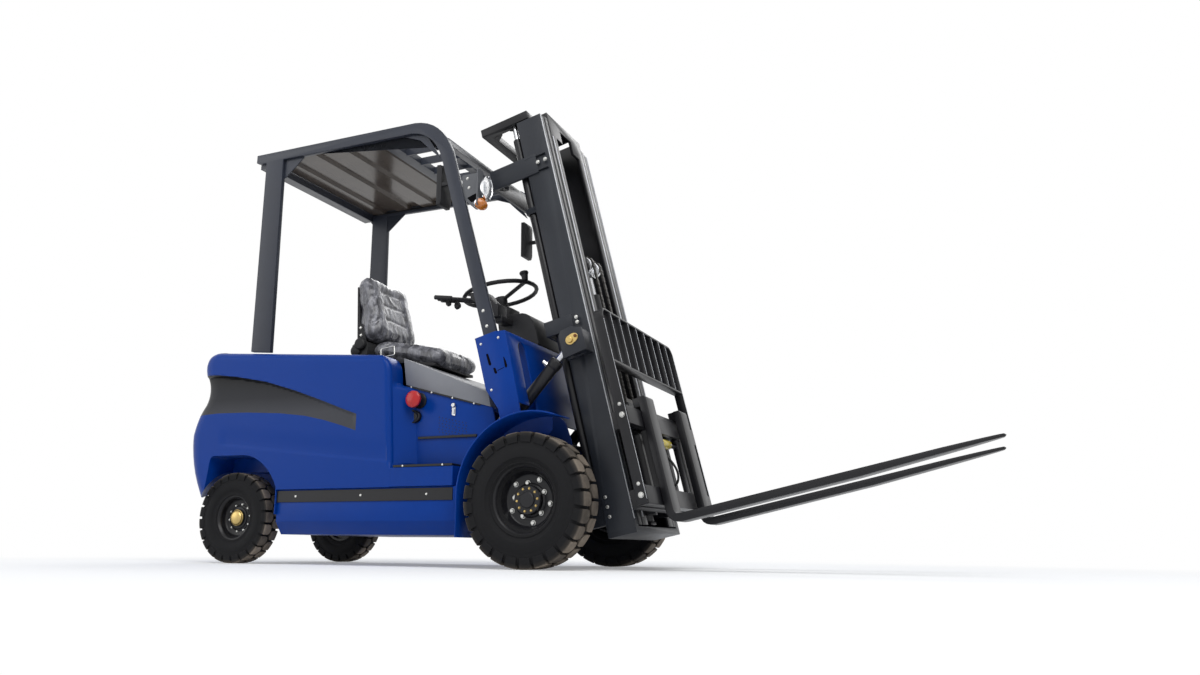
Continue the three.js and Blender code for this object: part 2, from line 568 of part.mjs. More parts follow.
// ---------------------------------------------------------------- axles and wheels
const axisBar = (x, z, y0, y1, r, sides = 32) => turned([[0, y0], [r, y0], [r, y1], [0, y1]], x, z, sides);
const buildDriveAxle = () => join([
  axisBar(0, DRIVE_TYRE_R, -385, 385, AXLE_TUBE_R, 24), axisBar(0, DRIVE_TYRE_R, -468, 468, SPINDLE_R, 24),
  axisBar(0, DRIVE_TYRE_R, -110, 110, AXLE_CASE_R, 24),
]);
const tyreRing = (r, rim, w, faceY, x) => {
  const y0 = -faceY;
  const y1 = -faceY + w;
  const edge = w * 0.11;
  return turned([
    [rim + GAP, y0 + edge], [r * 0.8, y0], [r - edge, y0 + edge * 0.3],
    [r, y0 + edge * 1.4], [r, y1 - edge * 1.4], [r - edge, y1 - edge * 0.3],
    [r * 0.8, y1], [rim + GAP, y1 - edge], [rim + GAP, y0 + edge],
  ], x, r);
};
const RIM_SIDES = 24;
const rimRing = (tyreR, rim, w, faceY, x, bore, discY, hubR, hubOut) => {
  const y0 = -faceY + w * 0.11;
  const y1 = -faceY + w * 0.89;
  const r = rim - GAP - 1;
  return turned([
    [bore, hubOut], [hubR, hubOut], [hubR, discY - 9], [rim - 16, discY - 9], [rim - 12, y0],
    [r, y0], [r, y1], [rim - 12, y1], [rim - 16, discY + 9], [bore, discY + 9], [bore, hubOut],
  ], x, tyreR, RIM_SIDES);
};
const driveTyre = () => tyreRing(DRIVE_TYRE_R, DRIVE_RIM_R, DRIVE_TYRE_W, DRIVE_FACE_Y, 0);
const driveRim = () => rimRing(DRIVE_TYRE_R, DRIVE_RIM_R, DRIVE_TYRE_W, DRIVE_FACE_Y, 0,
  SPINDLE_R + RUN, -450, 62, -482);
const steerTyre = () => tyreRing(STEER_TYRE_R, STEER_RIM_R, STEER_TYRE_W, STEER_FACE_Y, -WHEELBASE);
const STUB_R = 24;
const steerRim = () => rimRing(STEER_TYRE_R, STEER_RIM_R, STEER_TYRE_W, STEER_FACE_Y, -WHEELBASE,
  STUB_R + RUN, -408, 46, -440);
const buildSteerBeam = () => {
  const x = -WHEELBASE;
  const z = STEER_TYRE_R;
  const eye = (low) => join([
    box(x - 22, x + 22, -KINGPIN_Y, -250, low, low + 18),
    bar([x, -KINGPIN_Y, low], [x, -KINGPIN_Y, low + 18], 22, 20),
  ]);
  const beam = box(x - STEER_BEAM.halfX, x + STEER_BEAM.halfX, -262, 262, STEER_BEAM.low, STEER_BEAM.high);
  const pivot = box(x - 30, x + 30, -60, 60, STEER_BEAM.high - 1, 300 - GAP);
  const pinHole = bar([x, -KINGPIN_Y, 100], [x, -KINGPIN_Y, 300], 13 + RUN, 20);
  const cylinder = bar([x - 58, -128, z], [x - 58, 128, z], 24, 16);
  const saddle = box(x - 60, x - 30, -40, 40, z - 20, z + 20);
  const yoke = cut(join([eye(STEER_BEAM.low), eye(STEER_BEAM.high - 18)]), [pinHole]);
  return join([beam, pivot, cylinder, saddle, both(yoke)]);
};
const buildKnuckle = () => {
  const x = -WHEELBASE;
  const z = STEER_TYRE_R;
  return join([
    bar([x, -KINGPIN_Y, STEER_BEAM.low + 18.5], [x, -KINGPIN_Y, STEER_BEAM.high - 18.5], 23, 20),
    bar([x, -KINGPIN_Y, STEER_BEAM.low + 1], [x, -KINGPIN_Y, STEER_BEAM.high - 1], 13, 20),
    axisBar(x, z, -438, -KINGPIN_Y, STUB_R / Math.cos(Math.PI / 32) - 0.2),
  ]);
};

// ---------------------------------------------------------------- mast
const channel = (y, stage, low, top) => {
  const a0 = MAST.rear + stage * STAGE_STEP;
  const a1 = MAST.front + stage * STAGE_STEP;
  return join([
    box(a0, a1, -y.out, -y.out + MAST.web, low, top),
    box(a0, a0 + MAST.flange, -y.out, -y.in, low, top),
    box(a1 - MAST.flange, a1, -y.out, -y.in, low, top),
  ]);
};
// A cross tie that runs behind the rails, with an arm outside each rail.
const wrapTie = (armFront, back, low, high, armY, thick) => join([
  box(back, armFront, -armY - thick, -armY, low, high), box(back, armFront, armY, armY + thick, low, high),
  box(back, back + thick, -armY - thick, armY + thick, low, high),
]);
const buildOuterMast = () => {
  const ring = join([
    axisBar(0, DRIVE_TYRE_R, -288, -262, 92), box(0, MAST.rear + 2, -288, -262, 215, 330),
    box(60, MAST.rear + 2, -288, -262, 120, 330),
  ]);
  const bore = axisBar(0, DRIVE_TYRE_R, -300, -250, AXLE_TUBE_R + 1.2);
  const { y: earY, pinA, pinB } = TILT_CYL;
  const tiltEar = (y) => side([
    [236, 821], [345, 832], [345, 930], [300, 949], [250, 945], [236, 925],
  ], y, y + 12);
  const ears = join([
    tiltEar(-earY - 30), tiltEar(-earY + 18),
    box(300, 345, -earY - 30, -OUTER_Y.out + 1, 832, 842),
    box(328, 345, -earY - 30, -OUTER_Y.out + 1, 832, 925),
    bar([pinA, -earY - 30, pinB], [pinA, -earY + 30, pinB], TILT_CYL.pinR, 20),
  ]);
  const { a: liftA, y: liftY } = LIFT_CYL;
  const foot = box(liftA - 20, MAST.rear + 1, -liftY - 16, -liftY + 16,
    LIFT_CYL.low - 30, LIFT_CYL.low - GAP);
  const clamp = cut(box(liftA - 26, MAST.rear + 1, -liftY - 26, -liftY + 14, 1560, 1590),
    [bar([liftA, -liftY, 1500], [liftA, -liftY, 1700], LIFT_CYL.r + GAP, 24)]);
  return join([
    both(channel(OUTER_Y, 0, MAST.low, MAST.top)), both(cut(ring, [bore])),
    both(ears), both(foot), both(clamp),
    wrapTie(MAST.rear + 60, 150, 962, 1030, OUTER_Y.out - 1, 13),
    wrapTie(MAST.rear + 60, 42, 1740, 1838, OUTER_Y.out - 1, 13),
    box(MAST.rear, MAST.front, -OUTER_Y.out, OUTER_Y.out, MAST.low - 25, MAST.low + 1),
  ]);
};
const BACK_TIE_A = 206; // rear face of the middle stage's ties
const roller = (a, b, y0, y1, r) => bar([a, -y0, b], [a, -y1, b], r, 16);
const buildMiddleMast = () => {
  const a0 = MAST.rear + STAGE_STEP;
  const back = (b) => join([
    box(BACK_TIE_A, 224, -MIDDLE_Y.out, MIDDLE_Y.out, b - 35, b + 35),
    both(box(220, a0 + 1, -MIDDLE_Y.out, -MIDDLE_Y.in, b - 35, b + 35)),
  ]);
  const mid = (MAST.rear + MAST.front) / 2;
  const rollers = roller(mid, 190, MIDDLE_Y.out - 2, OUTER_Y.out - MAST.web - 2, ROLLER_R);
  const head = join([
    wrapTie(a0 + 60, 35, HEAD_LOW, HEAD_LOW + 40, MIDDLE_Y.out + 1.5, 45),
    both(box(a0, a0 + 60, -MIDDLE_Y.out - 2, -MIDDLE_Y.in, HEAD_LOW, HEAD_LOW + 40)),
  ]);
  const rails = both(channel(MIDDLE_Y, 1, MAST.low + 6, HEAD_LOW + 1));
  return join([rails, back(300), back(1150), both(rollers), head]);
};
const buildInnerMast = () => {
  const a0 = MAST.rear + 2 * STAGE_STEP;
  const a1 = MAST.front + 2 * STAGE_STEP;
  const top = 2079;
  const tie = (b) => box(a0, a0 + 14, -INNER_Y.in - 1, INNER_Y.in + 1, b - 35, b + 35);
  const mid = (MAST.rear + MAST.front) / 2 + STAGE_STEP;
  const rollers = roller(mid, 250, INNER_Y.out - 2, MIDDLE_Y.out - MAST.web - 2, ROLLER_R);
  const seat = box(a0, FREE_CYL.a + 34, -36, 36, FREE_CYL.low - 16, FREE_CYL.low - GAP);
  // The head plate is notched for the free lift pulleys.
  const edge = INNER_Y.in + 1;
  const head = front([
    [-edge, 1960], [-68, 1960], [-68, 2030], [68, 2030], [68, 1960], [edge, 1960], [edge, top], [-edge, top],
  ], a1 - MAST.flange, a1);
  const rails = both(channel(INNER_Y, 2, MAST.low + 6, top));
  return join([rails, tie(140), tie(760), tie(1700), tie(2040), both(rollers), seat, head]);
};
const buildLiftBarrel = () => {
  const { a, y, r, bore, low, top } = LIFT_CYL;
  return cut(bar([a, -y, low], [a, -y, top], r, 20), [bar([a, -y, low + 30], [a, -y, top + 9], bore, 20)]);
};
const buildLiftRod = () => bar(
  [LIFT_CYL.a, -LIFT_CYL.y, 500], [LIFT_CYL.a, -LIFT_CYL.y, HEAD_LOW - GAP], LIFT_CYL.rod, 16);
const buildFreeBarrel = () => {
  const { a, r, bore, low, top } = FREE_CYL;
  return cut(bar([a, 0, low], [a, 0, top], r, 24), [bar([a, 0, low + 20], [a, 0, top + 9], bore, 24)]);
};
const PULLEY = { b: 1322, r: 42 };
const CHAIN_GAP = 0.4;
const buildFreeRod = () => join([
  bar([FREE_CYL.a, 0, 380], [FREE_CYL.a, 0, 1300], FREE_CYL.rod, 20),
  box(FREE_CYL.a - 30, FREE_CYL.a + 30, -24, 24, 1270, 1345),
  bar([FREE_CYL.a + 10, -70, PULLEY.b], [FREE_CYL.a + 10, 70, PULLEY.b], 12, 16),
  both(bar([FREE_CYL.a + 10, -32, PULLEY.b], [FREE_CYL.a + 10, -60, PULLEY.b], PULLEY.r, 24)),
]);
const buildFreeChains = () => both(join([
  box(FREE_CYL.a + 10 + PULLEY.r + CHAIN_GAP, FREE_CYL.a + 10 + PULLEY.r + 9, -56, -36, 640, PULLEY.b),
  box(FREE_CYL.a + 10 - PULLEY.r - 9, FREE_CYL.a + 10 - PULLEY.r - CHAIN_GAP, -56, -36, 160, PULLEY.b),
  sideShape(chainArc(), -56, -36, 6),
])).add(box(FREE_CYL.a + 11 + PULLEY.r, FREE_CYL.a + 19 + PULLEY.r, -40, 40, 640, 660));
const chainArc = () => {
  const s = new THREE.Shape();
  s.absarc(FREE_CYL.a + 10, PULLEY.b, PULLEY.r + 9, 0, Math.PI, false);
  s.absarc(FREE_CYL.a + 10, PULLEY.b, PULLEY.r + CHAIN_GAP, Math.PI, 0, true);
  return s;
};
const buildMainChains = () => {
  const front = BACK_TIE_A - GAP;
  return both(box(front - 12, front, -226, -204, 340, HEAD_LOW - GAP))
    .add(box(front - 12, front, -210, 210, HEAD_LOW - 24, HEAD_LOW - GAP));
};

const buildCarriage = () => {
  const { rear, front: fore, bar: height, low, high, halfY } = CARRIAGE;
  const cheekY = 134;
  const plate = side([
    [250, 150], [250, 620], [330, 640], [rear + 2, 560], [rear + 2, 130],
  ], -cheekY, -cheekY + 26);
  const mid = (MAST.rear + MAST.front) / 2 + 2 * STAGE_STEP;
  const rollerEnd = INNER_Y.out - MAST.web - 1;
  const rollers = join([200, 560].map((b) => roller(mid, b, cheekY - 6, rollerEnd, ROLLER_R)));
  const rail = (b) => box(rear, fore, -halfY, halfY, b, b + height);
  const post = box(rear, fore - 8, -190, -110, low, high + height);
  const anchorTie = box(rear - 20, rear, -cheekY, cheekY, 560, 622);
  const hosePort = box(rear + 6, fore - 6 - GAP, -64, -44, low + height - 1, low + height + 26);
  return join([both(plate), both(rollers), rail(low), rail(high), both(post), anchorTie, hosePort]);
};
const buildShifter = () => {
  const { rear, front: fore, halfY } = SHIFT_BAR;
  const { low, high, bar: height } = CARRIAGE;
  const { a, b: rodB, reach } = SHIFT_CYL;
  const railBox = (b) => box(rear, fore, -halfY, halfY, b, b + height);
  const hook = join([
    box(CARRIAGE.rear + 8, rear + 2, -240, 240, high + height + RUN, high + height + 15),
    box(rear, fore - 4, -240, 240, high, high + height + 15),
  ]);
  // Blocks at the bar ends, against the backrest's sides.
  const endGap = BACKREST.halfY - 8 - GAP;
  const end = (b) => both(box(rear + 2, fore - 6, -endGap, -halfY + 20, b + 4, b + 66));
  const post = box(rear + 2, fore - 8, -232, -reach, low, high + 10);
  const rod = bar([a, -reach - 4, rodB], [a, reach + 4, rodB], SHIFT_CYL.rod, 12);
  return join([railBox(low), railBox(high), hook, end(low), end(high), both(post), rod]);
};
const buildShiftBarrel = () => {
  const { a, b, r, rod, halfLen } = SHIFT_CYL;
  return cut(join([
    bar([a, -halfLen, b], [a, halfLen, b], r, 20),
    box(CARRIAGE.front - 12, a, -24, 24, b - 14, b + 14),
    box(CARRIAGE.rear + 4, CARRIAGE.front - 11, -24, 24, b - 14, CARRIAGE.high - GAP),
  ]), [bar([a, -halfLen - 5, b], [a, halfLen + 5, b], rod + RUN, 12)]);
};

const buildFork = () => {
  const s = new THREE.Shape();
  const f = FORK.rear + FORK.thick;
  s.moveTo(FORK.rear, FORK.top);
  s.lineTo(FORK.rear, FORK.heel + 60);
  s.quadraticCurveTo(FORK.rear, FORK.heel, FORK.rear + 60, FORK.heel);
  s.lineTo(FORK.tip - 520, FORK.heel + 2);
  s.lineTo(FORK.tip - 8, FORK.heel + 17);
  s.lineTo(FORK.tip, FORK.heel + FORK.tipLift);
  s.lineTo(FORK.tip - 8, FORK.heel + 29);
  s.lineTo(FORK.tip - 520, FORK.heel + FORK.thick);
  s.lineTo(f + 22, FORK.heel + FORK.thick);
  s.quadraticCurveTo(f, FORK.heel + FORK.thick, f, FORK.heel + FORK.thick + 26);
  s.lineTo(f, FORK.top - 16);
  s.quadraticCurveTo(f, FORK.top, f - 12, FORK.top);
  const blade = sideShape(s, -FORK.inner - FORK.width, -FORK.inner, 5);
  const taper = new THREE.Shape();
  taper.moveTo(0, -FORK.inner - FORK.width);
  taper.lineTo(FORK.tip - 220, -FORK.inner - FORK.width);
  taper.quadraticCurveTo(FORK.tip, -FORK.inner - FORK.width + 12, FORK.tip, -FORK.inner - FORK.width / 2);
  taper.quadraticCurveTo(FORK.tip, -FORK.inner - 12, FORK.tip - 220, -FORK.inner);
  taper.lineTo(0, -FORK.inner);
  const top = CARRIAGE.high + CARRIAGE.bar + 15;
  const hook = box(SHIFT_BAR.rear + 14, FORK.rear + 1,
    -FORK.inner - FORK.width + 6, -FORK.inner - 6, top + RUN, top + 40);
  return blade.intersect(planShape(taper, 0, 900, 6)).add(hook);
};
const buildBackrest = () => {
  const { halfY, rear, front: fore, railLow, railTop, foot } = BACKREST;
  const t = 8;
  const outerShape = new THREE.Shape();
  const r = 48;
  outerShape.moveTo(-halfY, foot);
  outerShape.lineTo(-halfY, railTop - r);
  outerShape.absarc(-halfY + r, railTop - r, r, Math.PI, Math.PI / 2, true);
  outerShape.lineTo(halfY - r, railTop);
  outerShape.absarc(halfY - r, railTop - r, r, Math.PI / 2, 0, true);
  outerShape.lineTo(halfY, foot);
  outerShape.lineTo(halfY - t, foot);
  outerShape.lineTo(halfY - t, railTop - r);
  outerShape.absarc(halfY - r, railTop - r, r - t, 0, Math.PI / 2, false);
  outerShape.lineTo(-halfY + r, railTop - t);
  outerShape.absarc(-halfY + r, railTop - r, r - t, Math.PI / 2, Math.PI, false);
  outerShape.lineTo(-halfY + t, foot);
  const frame = frontShape(outerShape, rear, fore, 6);
  const rail = box(rear, fore, -halfY + 1, halfY - 1, railLow, railLow + t);
  const bars = [];
  const count = 8;
  for (let i = 1; i <= count; i++) {
    const y = -halfY + (2 * halfY * i) / (count + 1);
    bars.push(box(rear, fore, y - t / 2, y + t / 2, railLow + 1, railTop - 1));
  }
  return join([frame, rail, ...bars]);
};
const buildHose = () => {
  const path = new THREE.CatmullRomCurve3([
    [458, -50, 409 - GAP], [461, -51, 385], [482, -54, 355], [502, -58, 314], [508, -60, 279],
    [499, -59, 248], [476, -57, 231], [452, -55, 226], [426, -54, 226],
  ].map((p) => new THREE.Vector3(...p)));
  const section = new THREE.Shape();
  section.absarc(0, 0, 5, 0, Math.PI * 2, false);
  return solid(new THREE.ExtrudeGeometry(section, { steps: 14, extrudePath: path, curveSegments: 4 }));
};

// Tilt cylinder, in the truck's own axes.
const mastPoint = (a, b) => {
  const c = b - DRIVE_TYRE_R;
  const lean = TILT_BACK;
  return [a * Math.cos(lean) - c * Math.sin(lean), DRIVE_TYRE_R + a * Math.sin(lean) + c * Math.cos(lean)];
};
const tiltLine = () => {
  const [x, z] = mastPoint(TILT_CYL.pinA, TILT_CYL.pinB);
  const dx = x - TILT_CYL.baseX;
  const dz = z - TILT_CYL.baseZ;
  const length = Math.hypot(dx, dz);
  const at = (t) => [
    TILT_CYL.baseX + (dx * t) / length, -TILT_CYL.y, TILT_CYL.baseZ + (dz * t) / length,
  ];
  return { length, at };
};
const buildTiltBarrel = () => {
  const { length, at } = tiltLine();
  const tube = bar(at(26), at(length - 110), TILT_CYL.r, 20);
  const barrel = cut(tube, [bar(at(60), at(length), TILT_CYL.bore, 20)]);
  const across = (half, r) => bar(
    [TILT_CYL.baseX, -TILT_CYL.y - half, TILT_CYL.baseZ],
    [TILT_CYL.baseX, -TILT_CYL.y + half, TILT_CYL.baseZ], r, 20);
  return cut(barrel.add(across(20, 30)), [across(40, 14 + RUN)]);
};
const buildTiltRod = () => {
  const { length, at } = tiltLine();
  const rod = bar(at(240), at(length - 20), TILT_CYL.rod, 16);
  const [x, z] = mastPoint(TILT_CYL.pinA, TILT_CYL.pinB);
  const eye = bar([x, -TILT_CYL.y - 16, z], [x, -TILT_CYL.y + 16, z], 26, 20);
  const hole = bar([x, -TILT_CYL.y - 40, z], [x, -TILT_CYL.y + 40, z], TILT_CYL.eyeBore, 20);
  return cut(rod.add(eye), [hole]);
};

const MIRROR = { x: -490, y: -440, halfY: 46, low: 1612, high: 1806 };
const buildMirror = () => {
  const foot = (z) => pillarRear(z) - GAP * 1.05;
  return join([
    side([
      [MIRROR.x, MIRROR.low], [MIRROR.x + 20, MIRROR.low], [MIRROR.x + 26, MIRROR.low + 20],
      [MIRROR.x + 26, MIRROR.high - 20], [MIRROR.x + 20, MIRROR.high], [MIRROR.x, MIRROR.high],
    ], MIRROR.y - MIRROR.halfY, MIRROR.y + MIRROR.halfY),
    side([
      [MIRROR.x + 20, 1700], [foot(1700), 1700], [foot(1718), 1718], [MIRROR.x + 20, 1718],
    ], -GUARD_Y + 4, -GUARD_Y + GUARD_TUBE - 4),
  ]);
};
const buildLamp = () => join([
  side([
    [pillarFront(1560) + GAP * 1.05, 1560], [-235, 1560],
    [-235, 1740], [pillarFront(1740) + GAP * 1.05, 1740],
  ], -GUARD_Y + 4, -GUARD_Y + 10),
  bar([-262, -GUARD_Y + 8, 1650], [-206, -GUARD_Y + 8, 1650], 52, 20),
  box(-275, -235, -GUARD_Y - 22, -GUARD_Y + 30, 1556, 1588),
]);

// ---------------------------------------------------------------- all pieces
place(truck, "body", buildBody(), BLUE);
place(truck, "chassis", buildChassis(), BLUE);
place(truck, "floor_plate", buildFloor(), BLACK);
place(truck, "battery_case", buildCase(), BLUE);
place(truck, "battery_lid", buildLid(), GREY);
place(truck, "battery", box(-1290, -320, -370, 370, 170 + GAP, 628), PLASTIC);
place(truck, "seat_deck", buildDeck(), PLASTIC);
place(truck, "seat_base", buildSeatBase(), PLASTIC);
place(truck, "seat_cushion", buildCushion(), FABRIC);
place(truck, "seat_back", buildSeatBack(), FABRIC);
place(truck, "cowl", buildCowl(), BLUE);
placePair(truck, "fender", buildFender(), BLUE);
place(truck, "dash", buildDash(), PLASTIC);
place(truck, "steering_column", buildColumn(), BLACK);
place(truck, "steering_wheel", buildSteeringWheel(), BLACK);
place(truck, "lever_bank", buildLevers(), BLACK);
place(truck, "pedals", buildPedals(), BLACK);
place(truck, "overhead_guard", buildGuard(), SLATE);
place(truck, "roof_sheet", buildRoof(), TINT);
placePair(truck, "headlight", buildLamp(), LAMP);
placePair(truck, "mirror", buildMirror(), BLACK);
place(truck, "drive_axle", buildDriveAxle(), BLACK);
placePair(truck, "drive_tyre", driveTyre(), RUBBER);
placePair(truck, "drive_rim", driveRim(), BLACK);
place(truck, "steer_axle", buildSteerBeam(), BLACK);
placePair(truck, "knuckle", buildKnuckle(), BLACK);
placePair(truck, "steer_tyre", steerTyre(), RUBBER);
placePair(truck, "steer_rim", steerRim(), BLACK);
placePair(truck, "tilt_barrel", buildTiltBarrel(), BLACK);
placePair(truck, "tilt_rod", buildTiltRod(), STEEL);
place(mastInner, "outer_mast", buildOuterMast(), SLATE);
place(mastInner, "middle_mast", buildMiddleMast(), SLATE);
place(mastInner, "inner_mast", buildInnerMast(), SLATE);
placePair(mastInner, "lift_barrel", buildLiftBarrel(), BLACK);
placePair(mastInner, "lift_rod", buildLiftRod(), STEEL);
place(mastInner, "main_chains", buildMainChains(), STEEL);
place(mastInner, "free_barrel", buildFreeBarrel(), BLACK);
place(mastInner, "free_rod", buildFreeRod(), STEEL);
place(mastInner, "free_chains", buildFreeChains(), STEEL);
place(mastInner, "carriage", buildCarriage(), BLACK);
place(mastInner, "shift_frame", buildShifter(), BLACK);
place(mastInner, "shift_cylinder", buildShiftBarrel(), YELLOW);
place(mastInner, "backrest", buildBackrest(), BLACK);
placePair(mastInner, "fork", buildFork(), BLACK);
place(mastInner, "shift_hose", buildHose(), BLACK);

// The origin lies below the middle of the overall length.
const extent = new THREE.Box3().setFromObject(truck, true);
truck.position.x = -(extent.min.x + extent.max.x) / 2;

export default forklift;
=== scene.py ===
# Electric counterbalance forklift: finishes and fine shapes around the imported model.
# Metres, +X forward, +Y to the driver's left, +Z up.
# Outlines and places are written in millimetres from the drive axle, or in the mast's own axes.
import json
import math
import random

import bmesh
import bpy
from mathutils import Matrix, Vector, noise


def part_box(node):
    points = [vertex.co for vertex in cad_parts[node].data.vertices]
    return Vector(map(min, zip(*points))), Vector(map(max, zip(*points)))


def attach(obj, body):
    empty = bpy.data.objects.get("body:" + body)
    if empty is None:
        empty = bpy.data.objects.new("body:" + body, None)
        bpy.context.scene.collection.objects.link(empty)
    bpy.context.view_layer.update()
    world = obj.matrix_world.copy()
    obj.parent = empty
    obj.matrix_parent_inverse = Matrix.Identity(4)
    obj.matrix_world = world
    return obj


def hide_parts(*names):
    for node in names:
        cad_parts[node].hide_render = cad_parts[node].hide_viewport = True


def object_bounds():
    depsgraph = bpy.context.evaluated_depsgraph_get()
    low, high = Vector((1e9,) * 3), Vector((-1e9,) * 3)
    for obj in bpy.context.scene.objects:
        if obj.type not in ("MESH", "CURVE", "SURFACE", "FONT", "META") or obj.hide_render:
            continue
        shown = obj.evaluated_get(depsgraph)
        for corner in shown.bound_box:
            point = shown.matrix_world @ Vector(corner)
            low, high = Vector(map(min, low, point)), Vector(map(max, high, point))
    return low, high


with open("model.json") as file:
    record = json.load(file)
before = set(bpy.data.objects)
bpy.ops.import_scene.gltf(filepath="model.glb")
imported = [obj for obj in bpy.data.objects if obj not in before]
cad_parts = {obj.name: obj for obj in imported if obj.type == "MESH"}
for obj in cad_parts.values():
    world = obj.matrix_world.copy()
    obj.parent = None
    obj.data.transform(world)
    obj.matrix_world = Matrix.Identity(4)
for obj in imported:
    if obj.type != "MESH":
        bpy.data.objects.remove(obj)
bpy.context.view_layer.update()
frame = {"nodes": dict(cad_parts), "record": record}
NODES = frame["nodes"]
SIDES = (("R", -1), ("L", 1))

# ------------------------------------------------------------------ reference places
AXLE_X = (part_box("drive_tyre_R")[0].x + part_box("drive_tyre_R")[1].x) / 2
WHEEL_R = 0.270
MAST_LEAN = math.radians(13)
MAST_X = Vector((math.cos(MAST_LEAN), 0, math.sin(MAST_LEAN)))
MAST_Z = Vector((-math.sin(MAST_LEAN), 0, math.cos(MAST_LEAN)))
MAST_FRAME = Matrix((
    (MAST_X.x, 0, MAST_Z.x, AXLE_X),
    (0, 1, 0, 0),
    (MAST_X.z, 0, MAST_Z.z, WHEEL_R),
    (0, 0, 0, 1),
)) @ Matrix.Translation((0, 0, -WHEEL_R))
TRUCK_FRAME = Matrix.Translation((AXLE_X, 0, 0))


def mm(x, y, z):
    return Vector((x, y, z)) / 1000


def at(x, y, z):
    """A point in millimetres from the drive axle."""
    return TRUCK_FRAME @ mm(x, y, z)


def mast(a, y, b):
    """A point in millimetres in the mast's own axes: a forward, b up along the rails."""
    return MAST_FRAME @ mm(a, y, b)


def link_to_scene(name, data):
    made = bpy.data.objects.new(name, data)
    bpy.context.scene.collection.objects.link(made)
    return made


# ------------------------------------------------------------------ shader nodes
def feed(tree, target, inputs):
    """Sets each input to a value, or links it when it is given another node's output."""
    for socket, value in inputs.items():
        if isinstance(value, bpy.types.NodeSocket):
            tree.links.new(value, target.inputs[socket])
        else:
            target.inputs[socket].default_value = value


def add_node(tree, kind, inputs=None, **settings):
    made = tree.nodes.new("ShaderNode" + kind)
    for key, value in settings.items():
        setattr(made, key, value)
    feed(tree, made, inputs or {})
    return made


def math_node(tree, operation, *values):
    return add_node(tree, "Math", dict(enumerate(values)), operation=operation).outputs[0]


def seen_directly(tree):
    """1 for camera rays and for what metal and glass show of them, 0 for light on the object."""
    rays = add_node(tree, "LightPath").outputs
    mirrored = math_node(tree, "MAXIMUM", rays["Is Glossy Ray"], rays["Is Transmission Ray"])
    return math_node(tree, "MAXIMUM", rays["Is Camera Ray"], mirrored)


def shader(name):
    material = bpy.data.materials.new(name)
    material.use_nodes = True
    return material, material.node_tree, material.node_tree.nodes["Principled BSDF"]


def noise_node(tree, scale, detail=4, rough=0.55, stretch=None, distortion=0.0):
    source = add_node(tree, "TexCoord").outputs["Object"]
    if stretch:
        source = add_node(tree, "Mapping", {"Scale": stretch, "Vector": source}).outputs["Vector"]
    return add_node(tree, "TexNoise", {"Scale": scale, "Detail": detail, "Roughness": rough,
                                       "Distortion": distortion, "Vector": source}).outputs["Fac"]


def ramp(tree, source, stops):
    node = add_node(tree, "ValToRGB", {"Fac": source})
    elements = node.color_ramp.elements
    for element, (place, color) in zip(elements, (stops[0], stops[-1])):
        element.position = place
        element.color = (*color, 1)
    for place, color in stops[1:-1]:
        elements.new(place).color = (*color, 1)
    return node.outputs["Color"]


def scaled(tree, source, low, high):
    return add_node(tree, "MapRange", {"To Min": low, "To Max": high, "Value": source}).outputs["Result"]


def level(tree, source, start, end, **settings):
    """0 below start, 1 above end."""
    inputs = {"From Min": start, "From Max": end, "Value": source}
    return add_node(tree, "MapRange", inputs, **settings).outputs["Result"]


def add_bump(tree, bsdf, source, strength, distance):
    bump = add_node(tree, "Bump", {"Strength": strength, "Distance": distance, "Height": source})
    feed(tree, bsdf, {"Normal": bump.outputs["Normal"]})


# ------------------------------------------------------------------ camera, light and floor
def make_camera():
    right = Vector((0.89688, 0.44217, 0.00963)).normalized()
    up = Vector((0.10280, -0.22960, 0.96784)).normalized()
    data = bpy.data.cameras.new("camera")
    data.sensor_width = 36
    data.lens = 28.32
    data.shift_x = 0.0634
    data.shift_y = -0.0291
    data.clip_end = 100
    back = right.cross(up).normalized()
    turn = Matrix((right, back.cross(right), back)).transposed().to_4x4()
    camera = link_to_scene("camera", data)
    camera.matrix_world = Matrix.Translation(at(1700.6, -3976.4, 83.9)) @ turn
    bpy.context.scene.camera = camera


def area_light(name, place, target, size, power):
    data = bpy.data.lights.new(name, "AREA")
    data.shape = "RECTANGLE"
    data.size, data.size_y = size
    data.energy = power
    lamp = link_to_scene(name, data)
    lamp.location = place
    lamp.rotation_euler = (Vector(target) - Vector(place)).to_track_quat("-Z", "Y").to_euler()


def make_world():
    world = bpy.data.worlds.new("studio")
    bpy.context.scene.world = world
    world.use_nodes = True
    tree = world.node_tree
    tree.nodes.clear()
    soft = add_node(tree, "Background", {"Color": (0.80, 0.86, 0.95, 1), "Strength": 0.30})
    white = add_node(tree, "Background", {"Color": (1, 1, 1, 1)})
    mix = add_node(tree, "MixShader", {"Fac": seen_directly(tree), 1: soft.outputs[0], 2: white.outputs[0]})
    add_node(tree, "OutputWorld", {"Surface": mix.outputs[0]})


def floor_material():
    """A pale floor that keeps the object's shadow and fades to plain white far from the object."""
    fade_start, fade_end = 1.6, 4.2
    material, tree, bsdf = shader("floor_white")
    direct = seen_directly(tree)
    feed(tree, bsdf, {"Base Color": (0.93, 0.93, 0.93, 1), "Roughness": 0.95, "Specular IOR Level": 0.1,
                      "Emission Color": (1, 1, 1, 1),
                      "Emission Strength": math_node(tree, "MULTIPLY", direct, 0.26)})
    place = add_node(tree, "TexCoord").outputs["Object"]
    away = add_node(tree, "VectorMath", {0: place}, operation="LENGTH").outputs["Value"]
    far = level(tree, away, fade_start, fade_end, interpolation_type="SMOOTHSTEP")
    glow = add_node(tree, "Emission")
    mix = add_node(tree, "MixShader", {"Fac": math_node(tree, "MULTIPLY", far, direct),
                                       1: bsdf.outputs[0], 2: glow.outputs[0]})
    feed(tree, tree.nodes["Material Output"], {"Surface": mix.outputs[0]})
    return material


